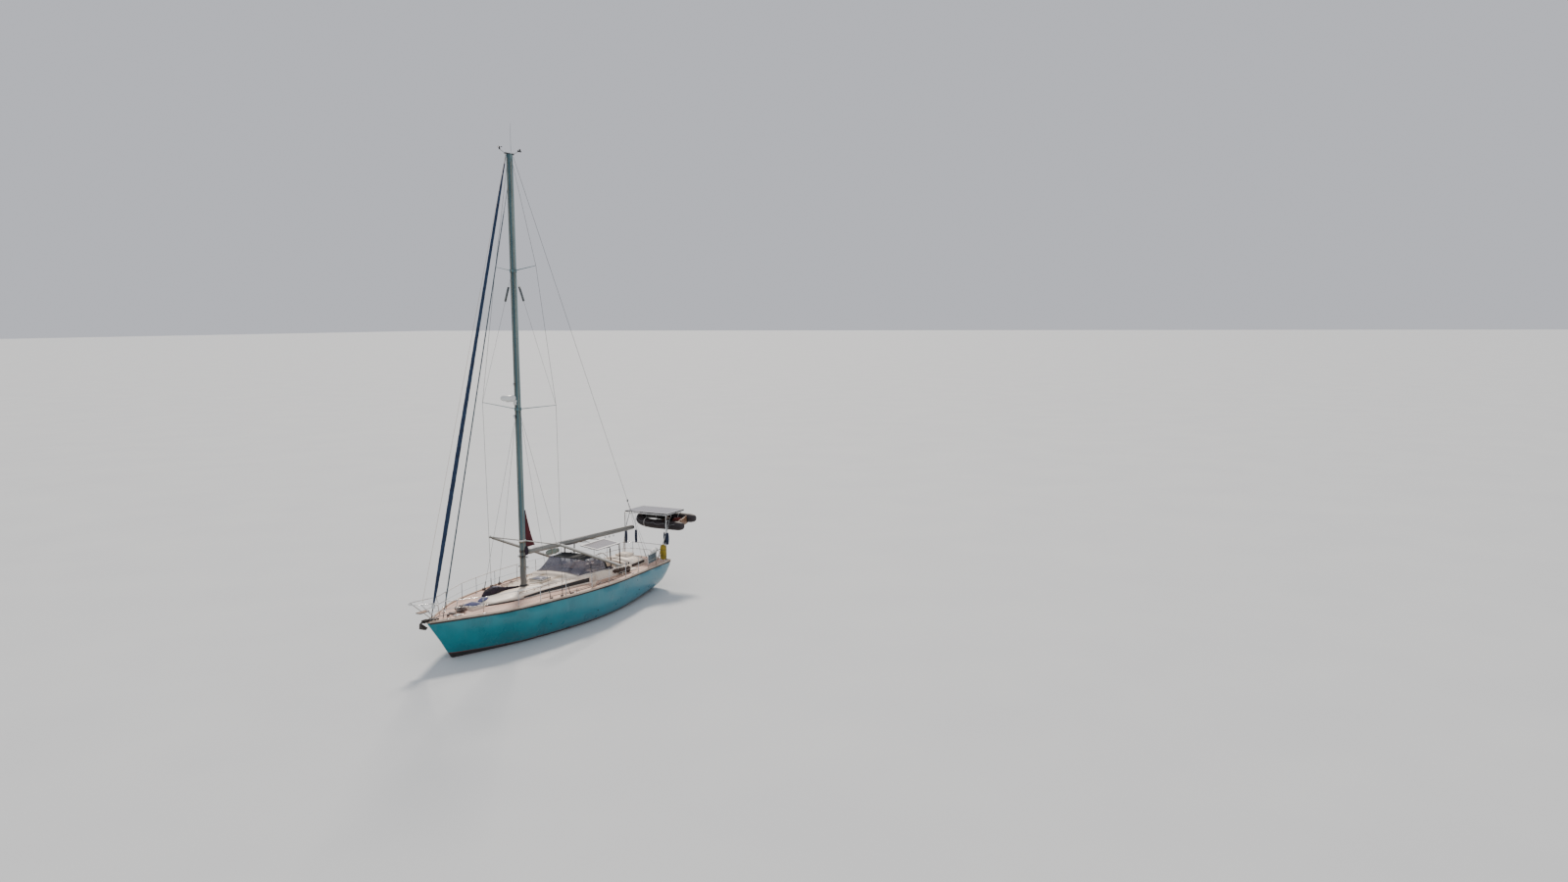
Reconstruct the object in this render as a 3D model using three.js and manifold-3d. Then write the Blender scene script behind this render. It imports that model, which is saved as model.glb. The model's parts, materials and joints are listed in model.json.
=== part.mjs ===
// A cruising sloop, 13.8 m long, afloat, with a centre cockpit and in-mast furling.
// Millimetres. +X is the bow, +Y is port, +Z is up. The origin is on the waterline, amidships.
import * as THREE from 'three';
import { mergeVertices } from 'three/addons/utils/BufferGeometryUtils.js';
import Module from 'manifold-3d';

const wasm = await Module();
wasm.setup();

// Driving dimensions
const LENGTH = 13800;
const SEAT = 0.3;                   // gap that one piece keeps to the piece that carries it
const SHEER = { stern: 1189, middle: 1441, bow: 1556 };
const TRANSOM = { top: -6820, bottom: -6900, bottomZ: 620 };
const KEEL = { jointZ: -1100, soleZ: -2000 };
const SKEG = { aft: -5230, heelZ: -1450 };
const RUDDER = { axisX: -5290, top: -370, stockR: 32, topChord: 640, heelChord: 470 };
const SHAFT = { hull: [-2500, 0, -560], end: [-4120, 0, -850], r: 20 };
const PROPELLER = { x: -4030, r: 245, blades: 3 };
const COACHROOF = { aft: -1120, nose: 4350, wall: 60 };
const COAMING = { inner: 1120, outer: 1300, aft: -4000, foreTop: 1830, slope: 0.0685, end: -3600 };
const SHELF = { top: 1915, flat: 430, side: 1825, wide: 1180 };
const FOOTWELL = { halfWidth: 380, floor: 750, aft: -3750 };
const SEATS = { halfWidth: 1080, z: 1200 };
const COMPANIONWAY = { halfWidth: 300, sill: 1250, fore: -540, slide: 420 };
const MAST = { x: 1792, foot: 1784, head: 18442, along: 150, across: 95, sides: 20 };
const GOOSENECK = { x: 1560, z: 3085 };
const BOOM = { aft: -5680, aftZ: 2850, along: 96, across: 62 };
const CROSSBAR = { x: 1700, z: 3580, y: 1790, pinR: 34, collar: 110 };
const POLE = { r: 60, aftX: -2330, aftZ: 1905 };
const LOWER_SPREADER = { z: 8782, tipY: 1815, tipUp: 202, tipAft: 48 };
const UPPER_SPREADER = { z: 14086, tipY: 984, tipUp: 174, tipAft: 132 };
const CHAINPLATE_X = 1660;
const FORESTAY = { head: [2010, 18300], foot: [6720, 1760] };
const INNER_STAY = { head: [1960, 17170], foot: [6160, 1600] };
const BACKSTAY = { head: [1590, 18400], foot: [-6700, 1240] };
const ARCH = { x: -6680, aft: -8150, y: 1140, z: 3300, r: 24 };
const DINGHY = { near: -7120, far: -8180, r: 208, stern: 1780, bow: -1000, z: 2770, rise: 150, tilt: 11 };

// Stations of the hull, from the transom to the stem
const STATIONS = [
  -6900, -6600, -6300, -5950, -5600, -5200, -4800, -4300, -3800, -3200, -2600, -2000, -1400, -800,
  -200, 400, 1000, 1600, 2200, 2750, 3300, 3750, 4200, 4600, 5000, 5300, 5600, 5850, 6100, 6300,
  6500, 6700, 6900,
];
// x, half beam at the sheer
const BEAM = [
  [-6900, 1214], [-4600, 1591], [-2200, 1959], [200, 2032],
  [2400, 1769], [4400, 1313], [5800, 630], [6900, 24],
];
// x, height of the hull's lowest line, fullness of the section above it
const BOTTOM = [
  [-6900, 620, 3.6], [-6300, -50, 4.1], [-5000, -280, 4.4], [-3000, -550, 4.2], [-1000, -720, 3.7],
  [1000, -720, 3.08], [3000, -580, 2.8], [4600, -380, 2.2], [5500, -120, 2.17], [5823, 0, 1.9],
  [6300, 690, 1.5], [6900, 1500, 1],
];
const SECTION_STEPS = [0, 0.02, 0.05, 0.1, 0.17, 0.26, 0.37, 0.5, 0.65, 0.82, 1];
// x, half width at the foot, height of the ridge
const ROOF = [
  [-1120, 1380, 1860], [-500, 1290, 1845], [500, 1150, 1820], [1800, 920, 1784],
  [3100, 730, 1745], [3900, 480, 1710], [4350, 250, 1665],
];
// The spray hood: x of its top, how far its foot lies aft of that, half width, heights of its foot
// and its top, roundness of its section
const HOOD = [
  [-280, 0, 1075, 1838, 1935, 0], [-700, 0, 1090, 1836, 2175, 0.8],
  [-1100, 0, 1150, 1832, 2370, 1], [-1780, 340, 1215, 1775, 2380, 1],
];
const STANCHIONS = [3730, 2720, 1440, -40, -1220, -2520, -3720];

const material = (color, roughness, metalness = 0) => (
  new THREE.MeshStandardMaterial({ color, roughness, metalness })
);
const GELCOAT = material('#7fb6bb', 0.35);
const CREAM = material('#d8cdb9', 0.5);
const TEAK = material('#b79a84', 0.75);
const VARNISH = material('#8a6f57', 0.6);
const BLACK_TRIM = material('#1c1c1e', 0.6);
const SMOKED = material('#1a2126', 0.1);
const ALLOY = material('#6c7678', 0.45, 0.8);
const STAINLESS = material('#c4c8ca', 0.25, 1);
const BRONZE = material('#8a6b3c', 0.4, 1);
const IRON = material('#3b3a3c', 0.6, 0.6);
const GALVANISED = material('#4a4c4d', 0.6, 0.7);
const NAVY_CLOTH = material('#16263f', 0.9);
const MAROON_CLOTH = material('#4a0f18', 0.9);
const CHARCOAL_CLOTH = material('#2b2a30', 0.85);
const GREY_CLOTH = material('#6d7678', 0.9);
const WHITE_PLASTIC = material('#dfe3e4', 0.35);
const YELLOW_CLOTH = material('#c9a514', 0.8);
const SOLAR = material('#1d2233', 0.15);
const ENGINE_PAINT = material('#46606b', 0.6);

const boat = new THREE.Group();

// Turns a closed geometry into a solid that can be joined and cut.
function solid(geometry) {
  const bare = new THREE.BufferGeometry();
  bare.setAttribute('position', geometry.getAttribute('position').clone());
  if (geometry.index) bare.setIndex(geometry.index.clone());
  const merged = mergeVertices(bare, 1e-3);
  const triangles = [];
  for (let i = 0; i < merged.index.count; i += 3) {
    const [a, b, c] = [0, 1, 2].map((k) => merged.index.getX(i + k));
    if (a !== b && b !== c && c !== a) triangles.push(a, b, c);
  }
  return new wasm.Manifold(new wasm.Mesh({
    numProp: 3,
    vertProperties: merged.getAttribute('position').array,
    triVerts: Uint32Array.from(triangles),
  }));
}

// Turns a solid back into a geometry.
function geometryOf(body) {
  const { vertProperties, triVerts } = body.getMesh();
  const geometry = new THREE.BufferGeometry();
  geometry.setAttribute('position', new THREE.BufferAttribute(vertProperties, 3));
  geometry.setIndex(new THREE.BufferAttribute(triVerts, 1));
  return geometry;
}

function add(name, body, finish) {
  const mesh = new THREE.Mesh(geometryOf(body), finish);
  mesh.name = name;
  boat.add(mesh);
  return body;
}

const join = (...bodies) => bodies.reduce((whole, body) => whole.add(body));
const cut = (body, ...tools) => tools.reduce((whole, tool) => whole.subtract(tool), body);

// Trims a piece where it enters its carrier, and leaves the seat gap along the given direction.
function seatOn(body, carrier, direction = [0, 0, 1]) {
  return body.subtract(carrier.translate(direction.map((part) => part * SEAT)));
}

function box([x0, x1], [y0, y1], [z0, z1]) {
  const geometry = new THREE.BoxGeometry(x1 - x0, y1 - y0, z1 - z0);
  return solid(geometry.translate((x0 + x1) / 2, (y0 + y1) / 2, (z0 + z1) / 2));
}

// A round bar between two points, tapered where the radii differ.
function bar(start, end, radius, sides = 8, endRadius = radius) {
  const from = new THREE.Vector3(...start);
  const to = new THREE.Vector3(...end);
  const along = to.clone().sub(from);
  const geometry = new THREE.CylinderGeometry(endRadius, radius, along.length(), sides);
  const turn = new THREE.Quaternion().setFromUnitVectors(
    new THREE.Vector3(0, 1, 0),
    along.clone().normalize(),
  );
  geometry.applyQuaternion(turn);
  const middle = from.add(to).multiplyScalar(0.5);
  return solid(geometry.translate(middle.x, middle.y, middle.z));
}

// A ball where two bars meet.
const knuckle = (centre, radius) => (
  solid(new THREE.SphereGeometry(radius, 8, 6).translate(...centre))
);

const outline = (sides, rx, ry = rx) => Array.from({ length: sides }, (_, i) => {
  const angle = (2 * Math.PI * i) / sides;
  return new THREE.Vector2(rx * Math.cos(angle), ry * Math.sin(angle));
});

// A round tube along a smooth curve through the points.
function tube(points, radius, steps, sides = 8) {
  const extrudePath = new THREE.CatmullRomCurve3(points.map((point) => new THREE.Vector3(...point)));
  const shape = new THREE.Shape(outline(sides, radius));
  return solid(new THREE.ExtrudeGeometry(shape, { steps, extrudePath, bevelEnabled: false }));
}

// A flat outline in the X-Y plane, extruded up from z0 to z1.
function prism(points, [z0, z1]) {
  const shape = new THREE.Shape(points.map((point) => (
    point.isVector2 ? point : new THREE.Vector2(...point)
  )));
  const geometry = new THREE.ExtrudeGeometry(shape, { depth: z1 - z0, bevelEnabled: false });
  return solid(geometry.translate(0, 0, z0));
}

// A flat outline in the X-Z plane, of the given thickness about y.
function fin(points, y, thickness) {
  const shape = new THREE.Shape(points.map((point) => new THREE.Vector2(...point)));
  const geometry = new THREE.ExtrudeGeometry(shape, { depth: thickness, bevelEnabled: false });
  return solid(geometry.rotateX(Math.PI / 2).translate(0, y + thickness / 2, 0));
}

// A closed skin through rings of points, capped at both ends.
function loft(rings) {
  const size = rings[0].length;
  const caps = [rings[0], rings[rings.length - 1]].map((ring) => (
    [0, 1, 2].map((axis) => ring.reduce((sum, point) => sum + point[axis], 0) / size)
  ));
  const first = rings.length * size;
  const index = [];
  for (let i = 0; i < size; i += 1) {
    const next = (i + 1) % size;
    for (let ring = 0; ring + 1 < rings.length; ring += 1) {
      const low = ring * size;
      const high = low + size;
      index.push(low + i, low + next, high + next, low + i, high + next, high + i);
    }
    const last = first - size;
    index.push(first, next, i, first + 1, last + i, last + next);
  }
  const build = () => {
    const geometry = new THREE.BufferGeometry();
    const points = new Float32Array([...rings.flat(), ...caps].flat());
    geometry.setAttribute('position', new THREE.BufferAttribute(points, 3));
    geometry.setIndex(index);
    return solid(geometry);
  };
  const body = build();
  if (body.volume() > 0) return body;
  index.reverse();
  return build();
}

// A smooth curve through a table's rows: its first column against the given one.
function through(rows, column = 1) {
  const slope = rows.map((row, i) => {
    const before = rows[Math.max(i - 1, 0)];
    const after = rows[Math.min(i + 1, rows.length - 1)];
    return (after[column] - before[column]) / (after[0] - before[0]);
  });
  const rising = rows[rows.length - 1][0] > rows[0][0] ? 1 : -1;
  return (x) => {
    const after = rows.findIndex((row) => rising * row[0] >= rising * x);
    const i = Math.min(Math.max(after < 0 ? rows.length - 1 : after, 1), rows.length - 1);
    const width = rows[i][0] - rows[i - 1][0];
    const t = (x - rows[i - 1][0]) / width;
    const rest = 1 - t;
    return rows[i - 1][column] * rest * rest * (1 + 2 * t) + rows[i][column] * t * t * (3 - 2 * t)
      + width * t * rest * (slope[i - 1] * rest - slope[i] * t);
  };
}

// The sheer's height: a parabola through the stern, the middle and the bow.
function sheer(x) {
  const t = x / LENGTH + 0.5;
  return SHEER.stern * (1 - t) * (1 - 2 * t) + SHEER.middle * 4 * t * (1 - t)
    + SHEER.bow * t * (2 * t - 1);
}
const halfBeam = through(BEAM);
const bottomZ = through(BOTTOM, 1);
const fullness = through(BOTTOM, 2);
const CAMBER = 0.03;                // the deck's crown for each unit of half width
const RAIL = { inner: 42, outer: 26, high: 66 };
const deckWidth = (x) => Math.max(halfBeam(x) - RAIL.inner, 6);
function deckTop(x, y) {
  const width = deckWidth(x);
  return sheer(x) + 20 + CAMBER * width * (1 - (y / width) ** 2);
}

// Hull

function hullRing(x) {
  const top = sheer(x);
  const low = bottomZ(x);
  const side = SECTION_STEPS.map((t) => {
    const z = low + t * (top - low);
    const rake = x > TRANSOM.bottom ? 0
      : ((z - TRANSOM.bottomZ) / (top - TRANSOM.bottomZ)) * (TRANSOM.top - TRANSOM.bottom);
    return [x + rake, 16 + (halfBeam(x) - 16) * (1 - (1 - t) ** fullness(x)), z];
  });
  return [...side, ...side.map(([px, py, pz]) => [px, -py, pz]).reverse()];
}

// A foil's outline between its leading and trailing edges, as a ring at height z.
function foilRing(lead, trail, halfThick, z) {
  // distance along the chord, thickness there
  const shape = [[0.03, 0.42], [0.15, 0.85], [0.35, 1], [0.65, 0.7], [1, 0.06]];
  const side = shape.map(([u, v]) => [lead + (trail - lead) * u, halfThick * v, z]);
  return [[lead, 0, z], ...side, ...side.map(([x, y]) => [x, -y, z]).reverse()];
}

const roofWidth = through(ROOF, 1);
const roofRidge = through(ROOF, 2);
// The coachroof's section at x, moved in by inset, with its foot at footZ.
function roofRing(x, inset, footZ) {
  const width = roofWidth(x) - inset;
  const ridge = roofRidge(x) - inset;
  const edge = ridge - 0.06 * roofWidth(x);
  const side = [[width, footZ], [width, sheer(x)], [width - 22, edge - 34], [width - 70, edge]];
  return [
    ...side.map(([y, z]) => [x, y, z]),
    [x, 0, ridge],
    ...side.map(([y, z]) => [x, -y, z]).reverse(),
  ];
}
const roofStations = (aft, fore) => [aft, ...ROOF.slice(1, -1).map(([x]) => x), fore];
const roofSolid = (inset, aft, fore, footZ) => (
  loft(roofStations(aft, fore).map((x) => roofRing(x, inset, footZ(x))))
);

const saloonWell = loft([-1000, -500, 500, 1800, 3100].map((x) => {
  const width = roofWidth(x) - COACHROOF.wall - 70;
  return [[x, width, -150], [x, width, 1900], [x, -width, 1900], [x, -width, -150]];
}));
const engineBay = box([-2120, -980], [-340, 340], [-430, 360]);
const seatWell = box(
  [COAMING.aft + 60, COACHROOF.aft - 12],
  [-SEATS.halfWidth, SEATS.halfWidth],
  [SEATS.z, 2500],
);
const footWell = box(
  [FOOTWELL.aft, COACHROOF.aft - 12],
  [-FOOTWELL.halfWidth, FOOTWELL.halfWidth],
  [FOOTWELL.floor, 2500],
);
const stairDoor = box(
  [-1200, -960],
  [-COMPANIONWAY.halfWidth, COMPANIONWAY.halfWidth],
  [COMPANIONWAY.sill, 1846],
);
const foreHatchWell = box([4400, 4920], [-260, 260], [1250, 2000]);
const aftHatchWell = box([-5250, -4750], [-240, 240], [1150, 2000]);

const keelStub = loft([
  foilRing(2050, -1750, 190, -560),
  foilRing(1900, -1650, 175, -800),
  foilRing(1700, -1560, 165, KEEL.jointZ),
]);
const skeg = loft([
  foilRing(-4450, SKEG.aft - 420, 80, -200),
  foilRing(-4600, SKEG.aft - 420, 75, -700),
  foilRing(-4820, SKEG.aft - 420, 65, SKEG.heelZ),
]).subtract(box([SKEG.aft - 600, SKEG.aft], [-200, 200], [-1600, -100]));
const heel = join(
  box([RUDDER.axisX - 60, SKEG.aft + 120], [-34, 34], [SKEG.heelZ - 40, SKEG.heelZ]),
  bar([RUDDER.axisX, 0, SKEG.heelZ - 20], [RUDDER.axisX, 0, SKEG.heelZ + 70], 15, 12),
);
const stockBore = bar([RUDDER.axisX, 0, -420], [RUDDER.axisX, 0, 260], RUDDER.stockR + 5, 16);
const shaftBore = bar([-2300, 0, -524], SHAFT.end, SHAFT.r + 6, 12);
const hullShell = join(loft(STATIONS.map(hullRing)), keelStub, skeg, heel);
const hull = add('hull', cut(
  hullShell,
  saloonWell,
  engineBay,
  seatWell,
  footWell,
  stairDoor,
  foreHatchWell,
  aftHatchWell,
  stockBore,
  shaftBore,
), GELCOAT);

add('ballast_keel', loft([
  foilRing(1700, -1560, 165, KEEL.jointZ - SEAT),
  foilRing(1450, -1500, 160, -1600),
  foilRing(1250, -1450, 170, KEEL.soleZ),
]), IRON);

add('engine_block', box([-2080, -1160], [-280, 280], [-430 + SEAT, 210]), ENGINE_PAINT);

// Deck, rails and superstructure

const deckStations = [TRANSOM.top + 50, ...STATIONS.slice(1, -1), 6800];
const footAt = (x, y) => [x, y, deckTop(x, y) - 12];
const coachroofHole = roofSolid(-SEAT, COACHROOF.aft - SEAT, COACHROOF.nose + SEAT, () => 1000);
const coamingHole = box(
  [COAMING.aft - SEAT - 140, COACHROOF.aft + 5],
  [-COAMING.outer - SEAT, COAMING.outer + SEAT],
  [1000, 2600],
);
// x, half width, heights of the aft trunk's edge and ridge
const TRUNK = [
  [-5440, 800, 1440, 1560], [-5400, 836, 1510, 1640], [-5150, 862, 1535, 1680],
  [-4600, 920, 1552, 1697], [-4160, 950, 1556, 1700],
];
const trunkSolid = (grow, footZ) => loft(TRUNK.map(([at, halfWidth, edge, top], i) => {
  const x = at + (i === 0 ? -grow : 0) + (i === TRUNK.length - 1 ? grow : 0);
  const width = halfWidth + grow;
  const side = [
    [width, footZ], [width, 1330], [width - 14, edge - 40], [width - 60, edge],
    [width * 0.78, edge + (top - edge) * 0.38], [width * 0.5, edge + (top - edge) * 0.76],
    [width * 0.24, edge + (top - edge) * 0.95],
  ];
  return [
    ...side.map(([y, z]) => [x, y, z]),
    [x, 0, top],
    ...side.map(([y, z]) => [x, -y, z]).reverse(),
  ];
}));
const trunkHole = trunkSolid(SEAT, 1000);

const deckSkin = loft(deckStations.map((x) => {
  const width = deckWidth(x);
  const low = sheer(x) + SEAT;
  const crown = [1, 0.6, 0, -0.6, -1].map((part) => [x, width * part, deckTop(x, width * part)]);
  return [[x, width, low], ...crown, [x, -width, low]];
}));
const foreHatchFrame = box([4350, 4970], [-310, 310], [1560, 1690]);
const deck = add('deck', cut(
  join(deckSkin, foreHatchFrame),
  coachroofHole,
  coamingHole,
  trunkHole,
  foreHatchWell,
  box([4340, 4980], [-320, 320], [1200, 1560]),
), TEAK);

// A strip along one side, between two distances from the hull's edge.
function sideStrip(side, near, far, low, high, stations) {
  return loft(stations.map((x) => {
    const z = sheer(x);
    const edge = halfBeam(x);
    const inner = (x > 6800 ? 3 : Math.max(edge + near, 6 + SEAT)) * side;
    const outer = (edge + far) * side;
    return [[x, inner, z + low], [x, outer, z + low], [x, outer, z + high], [x, inner, z + high]];
  }));
}
const railStations = [TRANSOM.top + 4, ...deckStations, 6880, 6905];
const sternZ = sheer(TRANSOM.top);
add('cap_rail', join(
  ...[1, -1].map((side) => sideStrip(
    side,
    -RAIL.inner + SEAT,
    RAIL.outer,
    SEAT,
    RAIL.high,
    railStations,
  )),
  box([6860, 6935], [-46, 46], [sheer(6900) + SEAT, sheer(6900) + RAIL.high]),
  box(
    [TRANSOM.top - 22, TRANSOM.top + 48],
    [-halfBeam(TRANSOM.top) - RAIL.outer + 4, halfBeam(TRANSOM.top) + RAIL.outer - 4],
    [sternZ + 1, sternZ + RAIL.high],
  ),
), VARNISH);

const roofShell = roofSolid(0, COACHROOF.aft, COACHROOF.nose, (x) => sheer(x) - 15);
// The shelf over the roof's aft end that carries the spray hood and holds the sliding hatch
const shelfTop = (y) => (
  SHELF.top - (SHELF.top - SHELF.side) * Math.max((Math.abs(y) - SHELF.flat) / (SHELF.wide - SHELF.flat), 0)
);
const breakwater = loft([
  [COACHROOF.aft, 100, 0], [-600, 100, 0], [-70, 100, 0], [0, 112, 60],
].map(([x, inset, drop]) => {
  const width = roofWidth(x) - inset;
  const side = [[width, 1700], [width, shelfTop(width) - drop], [SHELF.flat, SHELF.top - drop]];
  return [...side.map(([y, z]) => [x, y, z]), ...side.map(([y, z]) => [x, -y, z]).reverse()];
}));
const roofInside = roofSolid(
  COACHROOF.wall,
  COACHROOF.aft + COACHROOF.wall,
  COACHROOF.nose - 200,
  () => 1200,
);
const slideSlot = box(
  [COACHROOF.aft - 5, -80],
  [-COMPANIONWAY.halfWidth - 60, COMPANIONWAY.halfWidth + 60],
  [1845, 1890],
);
const slideOpening = box(
  [COACHROOF.aft - 5, COMPANIONWAY.fore],
  [-COMPANIONWAY.halfWidth, COMPANIONWAY.halfWidth],
  [1600, 2100],
);
const saloonHatchWell = box([570, 1050], [-260, 260], [1600, 2000]);
const windowCutter = (side, shrink) => loft([
  [2700, 1560, 1650], [1800, 1585, 1690], [500, 1565, 1710], [-300, 1545, 1715], [-720, 1535, 1712],
].map(([x, low, high], i, rows) => {
  const px = x + (i === 0 ? -shrink : 0) + (i === rows.length - 1 ? shrink : 0);
  const [near, far] = [roofWidth(x) - 260, roofWidth(x) + 120];
  return [[near, low + shrink], [far, low + shrink], [far, high - shrink], [near, high - shrink]]
    .map(([y, z]) => [px, y * side, z]);
}));
const roofWithoutWindows = cut(
  join(roofShell, breakwater, box([520, 1100], [-310, 310], [1760, 1862])),
  roofInside,
  slideSlot,
  slideOpening,
  stairDoor,
  saloonHatchWell,
);
const coachroof = add('coachroof', cut(
  seatOn(roofWithoutWindows, hull),
  windowCutter(1, 0),
  windowCutter(-1, 0),
), CREAM);
const paneLayer = cut(
  roofSolid(18, COACHROOF.aft, COACHROOF.nose, () => 1300),
  roofSolid(28, COACHROOF.aft - 10, COACHROOF.nose + 10, () => 1200),
);
for (const [name, side] of [['port', 1], ['starboard', -1]]) {
  add(`cabin_window_${name}`, paneLayer.intersect(windowCutter(side, SEAT)), SMOKED);
}

const coamingFoot = (x) => sheer(x) - 15;
const coamingTop = (x) => COAMING.foreTop + (x - COACHROOF.aft) * COAMING.slope;
// x, how far the top lies below its slope
const COAMING_ROWS = [
  [COACHROOF.aft - SEAT, 0], [-2400, 0], [COAMING.end + 60, 0], [COAMING.end, 40],
  [COAMING.end - 40, 235], [COAMING.aft - 140, 203],
];
const cockpitEnd = [COAMING.aft - 140, COAMING.aft].map((x) => {
  const side = [[950, coamingFoot(x)], [950, 1500], [890, 1540], [500, 1636], [230, 1668]];
  return [
    ...side.map(([y, z]) => [x, y, z]),
    [x, 0, 1676],
    ...side.map(([y, z]) => [x, -y, z]).reverse(),
  ];
});
const coaming = add('cockpit_coaming', seatOn(join(
  ...[1, -1].map((side) => loft(COAMING_ROWS.map(([x, drop]) => [
    [COAMING.inner, coamingFoot(x)],
    [COAMING.outer, coamingFoot(x)],
    [COAMING.outer - 20, coamingTop(x) - drop - 18],
    [COAMING.outer - 42, coamingTop(x) - drop],
    [COAMING.inner + 16, coamingTop(x) - drop],
    [COAMING.inner, coamingTop(x) - drop - 16],
  ].map(([y, z]) => [x, y * side, z])))),
  box(
    [COAMING.aft - 140, COAMING.aft],
    [-COAMING.outer + 30, COAMING.outer - 30],
    [coamingFoot(COAMING.aft), 1415],
  ),
  loft(cockpitEnd),
), hull), CREAM);

add('aft_trunk', cut(
  seatOn(join(
    trunkSolid(0, 1180),
    box([-5300, -4700], [-290, 290], [1500, 1742]),
  ), hull),
  aftHatchWell,
), CREAM);

add('washboards', box(
  [COACHROOF.aft + 8, COACHROOF.aft + 34],
  [-COMPANIONWAY.halfWidth + SEAT, COMPANIONWAY.halfWidth - SEAT],
  [COMPANIONWAY.sill + SEAT, 1840],
), VARNISH);
const slideSpan = [COACHROOF.aft - 2, COMPANIONWAY.fore + 30];
add('companionway_hatch', join(
  box(slideSpan, [-COMPANIONWAY.halfWidth - 54, COMPANIONWAY.halfWidth + 54], [1850.5, 1884]),
  ...[1, -1].map((side) => {
    const runner = [COMPANIONWAY.halfWidth + 18, COMPANIONWAY.halfWidth + 36].map((y) => y * side);
    return box(slideSpan, runner.sort((a, b) => a - b), [1845 + SEAT, 1852]);
  }),
), SMOKED);

// A hatch lid with a frame and a hinge knuckle on its fore edge.
function hatchLid([x0, x1], halfWidth, z) {
  return join(
    box([x0, x1], [-halfWidth, halfWidth], [z, z + 26]),
    box([x0 + 40, x1 - 40], [-halfWidth + 40, halfWidth - 40], [z + 20, z + 36]),
  );
}
add('fore_hatch', hatchLid([4350, 4970], 310, 1690.5), SMOKED);
add('saloon_hatch', hatchLid([520, 1100], 310, 1862.5), SMOKED);
add('aft_hatch', hatchLid([-5300, -4700], 290, 1742.5), SMOKED);

// Cockpit

const pedestalX = -3150;
const wheelZ = 1720;
add('steering_pedestal', join(
  bar([pedestalX, 0, FOOTWELL.floor + SEAT], [pedestalX, 0, 1620], 90, 12, 70),
  box([pedestalX - 110, pedestalX + 90], [-120, 120], [1600, 1830]),
  bar([pedestalX - 100, 0, wheelZ], [pedestalX - 172, 0, wheelZ], 16, 12),
), WHITE_PLASTIC);
const wheel = { x: -3310, rim: 380, rimR: 14, spokes: 6 };
const rim = new THREE.TorusGeometry(wheel.rim, wheel.rimR, 5, 20).rotateY(Math.PI / 2);
add('steering_wheel', join(
  solid(rim.translate(wheel.x, 0, wheelZ)),
  bar([wheel.x - 36, 0, wheelZ], [wheel.x + 20, 0, wheelZ], 52, 12)
    .subtract(bar([wheel.x - 20, 0, wheelZ], [wheel.x + 30, 0, wheelZ], 17, 12)),
  ...Array.from({ length: wheel.spokes }, (_, i) => {
    const angle = (2 * Math.PI * i) / wheel.spokes;
    const [y, z] = [Math.cos(angle), Math.sin(angle)];
    return bar(
      [wheel.x - 8, y * 40, wheelZ + z * 40],
      [wheel.x, y * wheel.rim, wheelZ + z * wheel.rim],
      8,
      4,
    );
  }),
), STAINLESS);

// The spray hood: an arch of cloth from the shelf back over the companionway, its sides on the coamings
function hoodRing([at, lean, width, foot, top, round], inset, drop) {
  // share of the half width, share of the height where it lies flat and where it stands round
  const arch = [
    [1, 0, 0], [0.985, 0.28, 0.5], [0.965, 0.31, 0.7], [0.93, 0.35, 0.84],
    [0.87, 0.42, 0.91], [0.78, 0.53, 0.955], [0.6, 0.77, 0.985], [0.4, 1, 1],
  ];
  const side = arch.map(([u, flat, stood]) => {
    const v = flat + (stood - flat) * round;
    const z = foot + Math.max(top - inset - foot, 2) * v - (v ? 0 : drop);
    return [at - lean * (1 - v), (width - inset) * u, z];
  });
  return [...side, ...side.map(([x, y, z]) => [x, -y, z]).reverse()];
}
const hoodAft = HOOD[HOOD.length - 1];
add('spray_hood', seatOn(seatOn(seatOn(cut(
  loft(HOOD.map((row) => hoodRing(row, 0, 60))),
  loft([
    ...HOOD.slice(1, -1).map((row) => hoodRing(row, 16, 120)),
    hoodRing([hoodAft[0] - 40, ...hoodAft.slice(1)], 16, 120),
  ]),
  loft([
    hoodRing([HOOD[0][0] - 60, 0, HOOD[0][2] + 2, HOOD[0][3], HOOD[0][4] + 34, 0.11], 30, 120),
    hoodRing(HOOD[1], 16, 120),
  ]),
  box([COACHROOF.aft - 2, COACHROOF.aft + 2], [-COAMING.outer, COAMING.outer], [1500, 1828]),
), coaming), breakwater), coachroof), CHARCOAL_CLOTH);

for (const [name, side] of [['port', 1], ['starboard', -1]]) {
  const at = (z) => [-2750, 1205 * side, coamingTop(-2750) + z];
  add(`winch_${name}`, seatOn(join(
    bar(at(-12), at(36), 66, 20),
    bar(at(30), at(150), 52, 20, 58),
    bar(at(148), at(172), 64, 20),
  ), coaming), STAINLESS);
}

// Solar panels over the cockpit, on two hoops
const PANEL = { fore: -1490, aft: -3090, inner: 270, outer: 1150, innerZ: 2810, outerZ: 2700, thick: 32 };
const panelTilt = Math.atan2(PANEL.innerZ - PANEL.outerZ, PANEL.outer - PANEL.inner);
for (const [name, side] of [['port', 1], ['starboard', -1]]) {
  const width = Math.hypot(PANEL.outer - PANEL.inner, PANEL.innerZ - PANEL.outerZ);
  const plate = new THREE.BoxGeometry(PANEL.fore - PANEL.aft, width, PANEL.thick)
    .translate(0, 0, -PANEL.thick / 2)
    .rotateX(-side * panelTilt)
    .translate(
      (PANEL.fore + PANEL.aft) / 2,
      (side * (PANEL.inner + PANEL.outer)) / 2,
      (PANEL.innerZ + PANEL.outerZ) / 2,
    );
  add(`side_panel_${name}`, solid(plate), SOLAR);
}
const HOOP_R = 15;
const HOOP_X = [-2300, -2960];
const hoopDrop = (PANEL.thick + HOOP_R + SEAT) / Math.cos(panelTilt);
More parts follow.
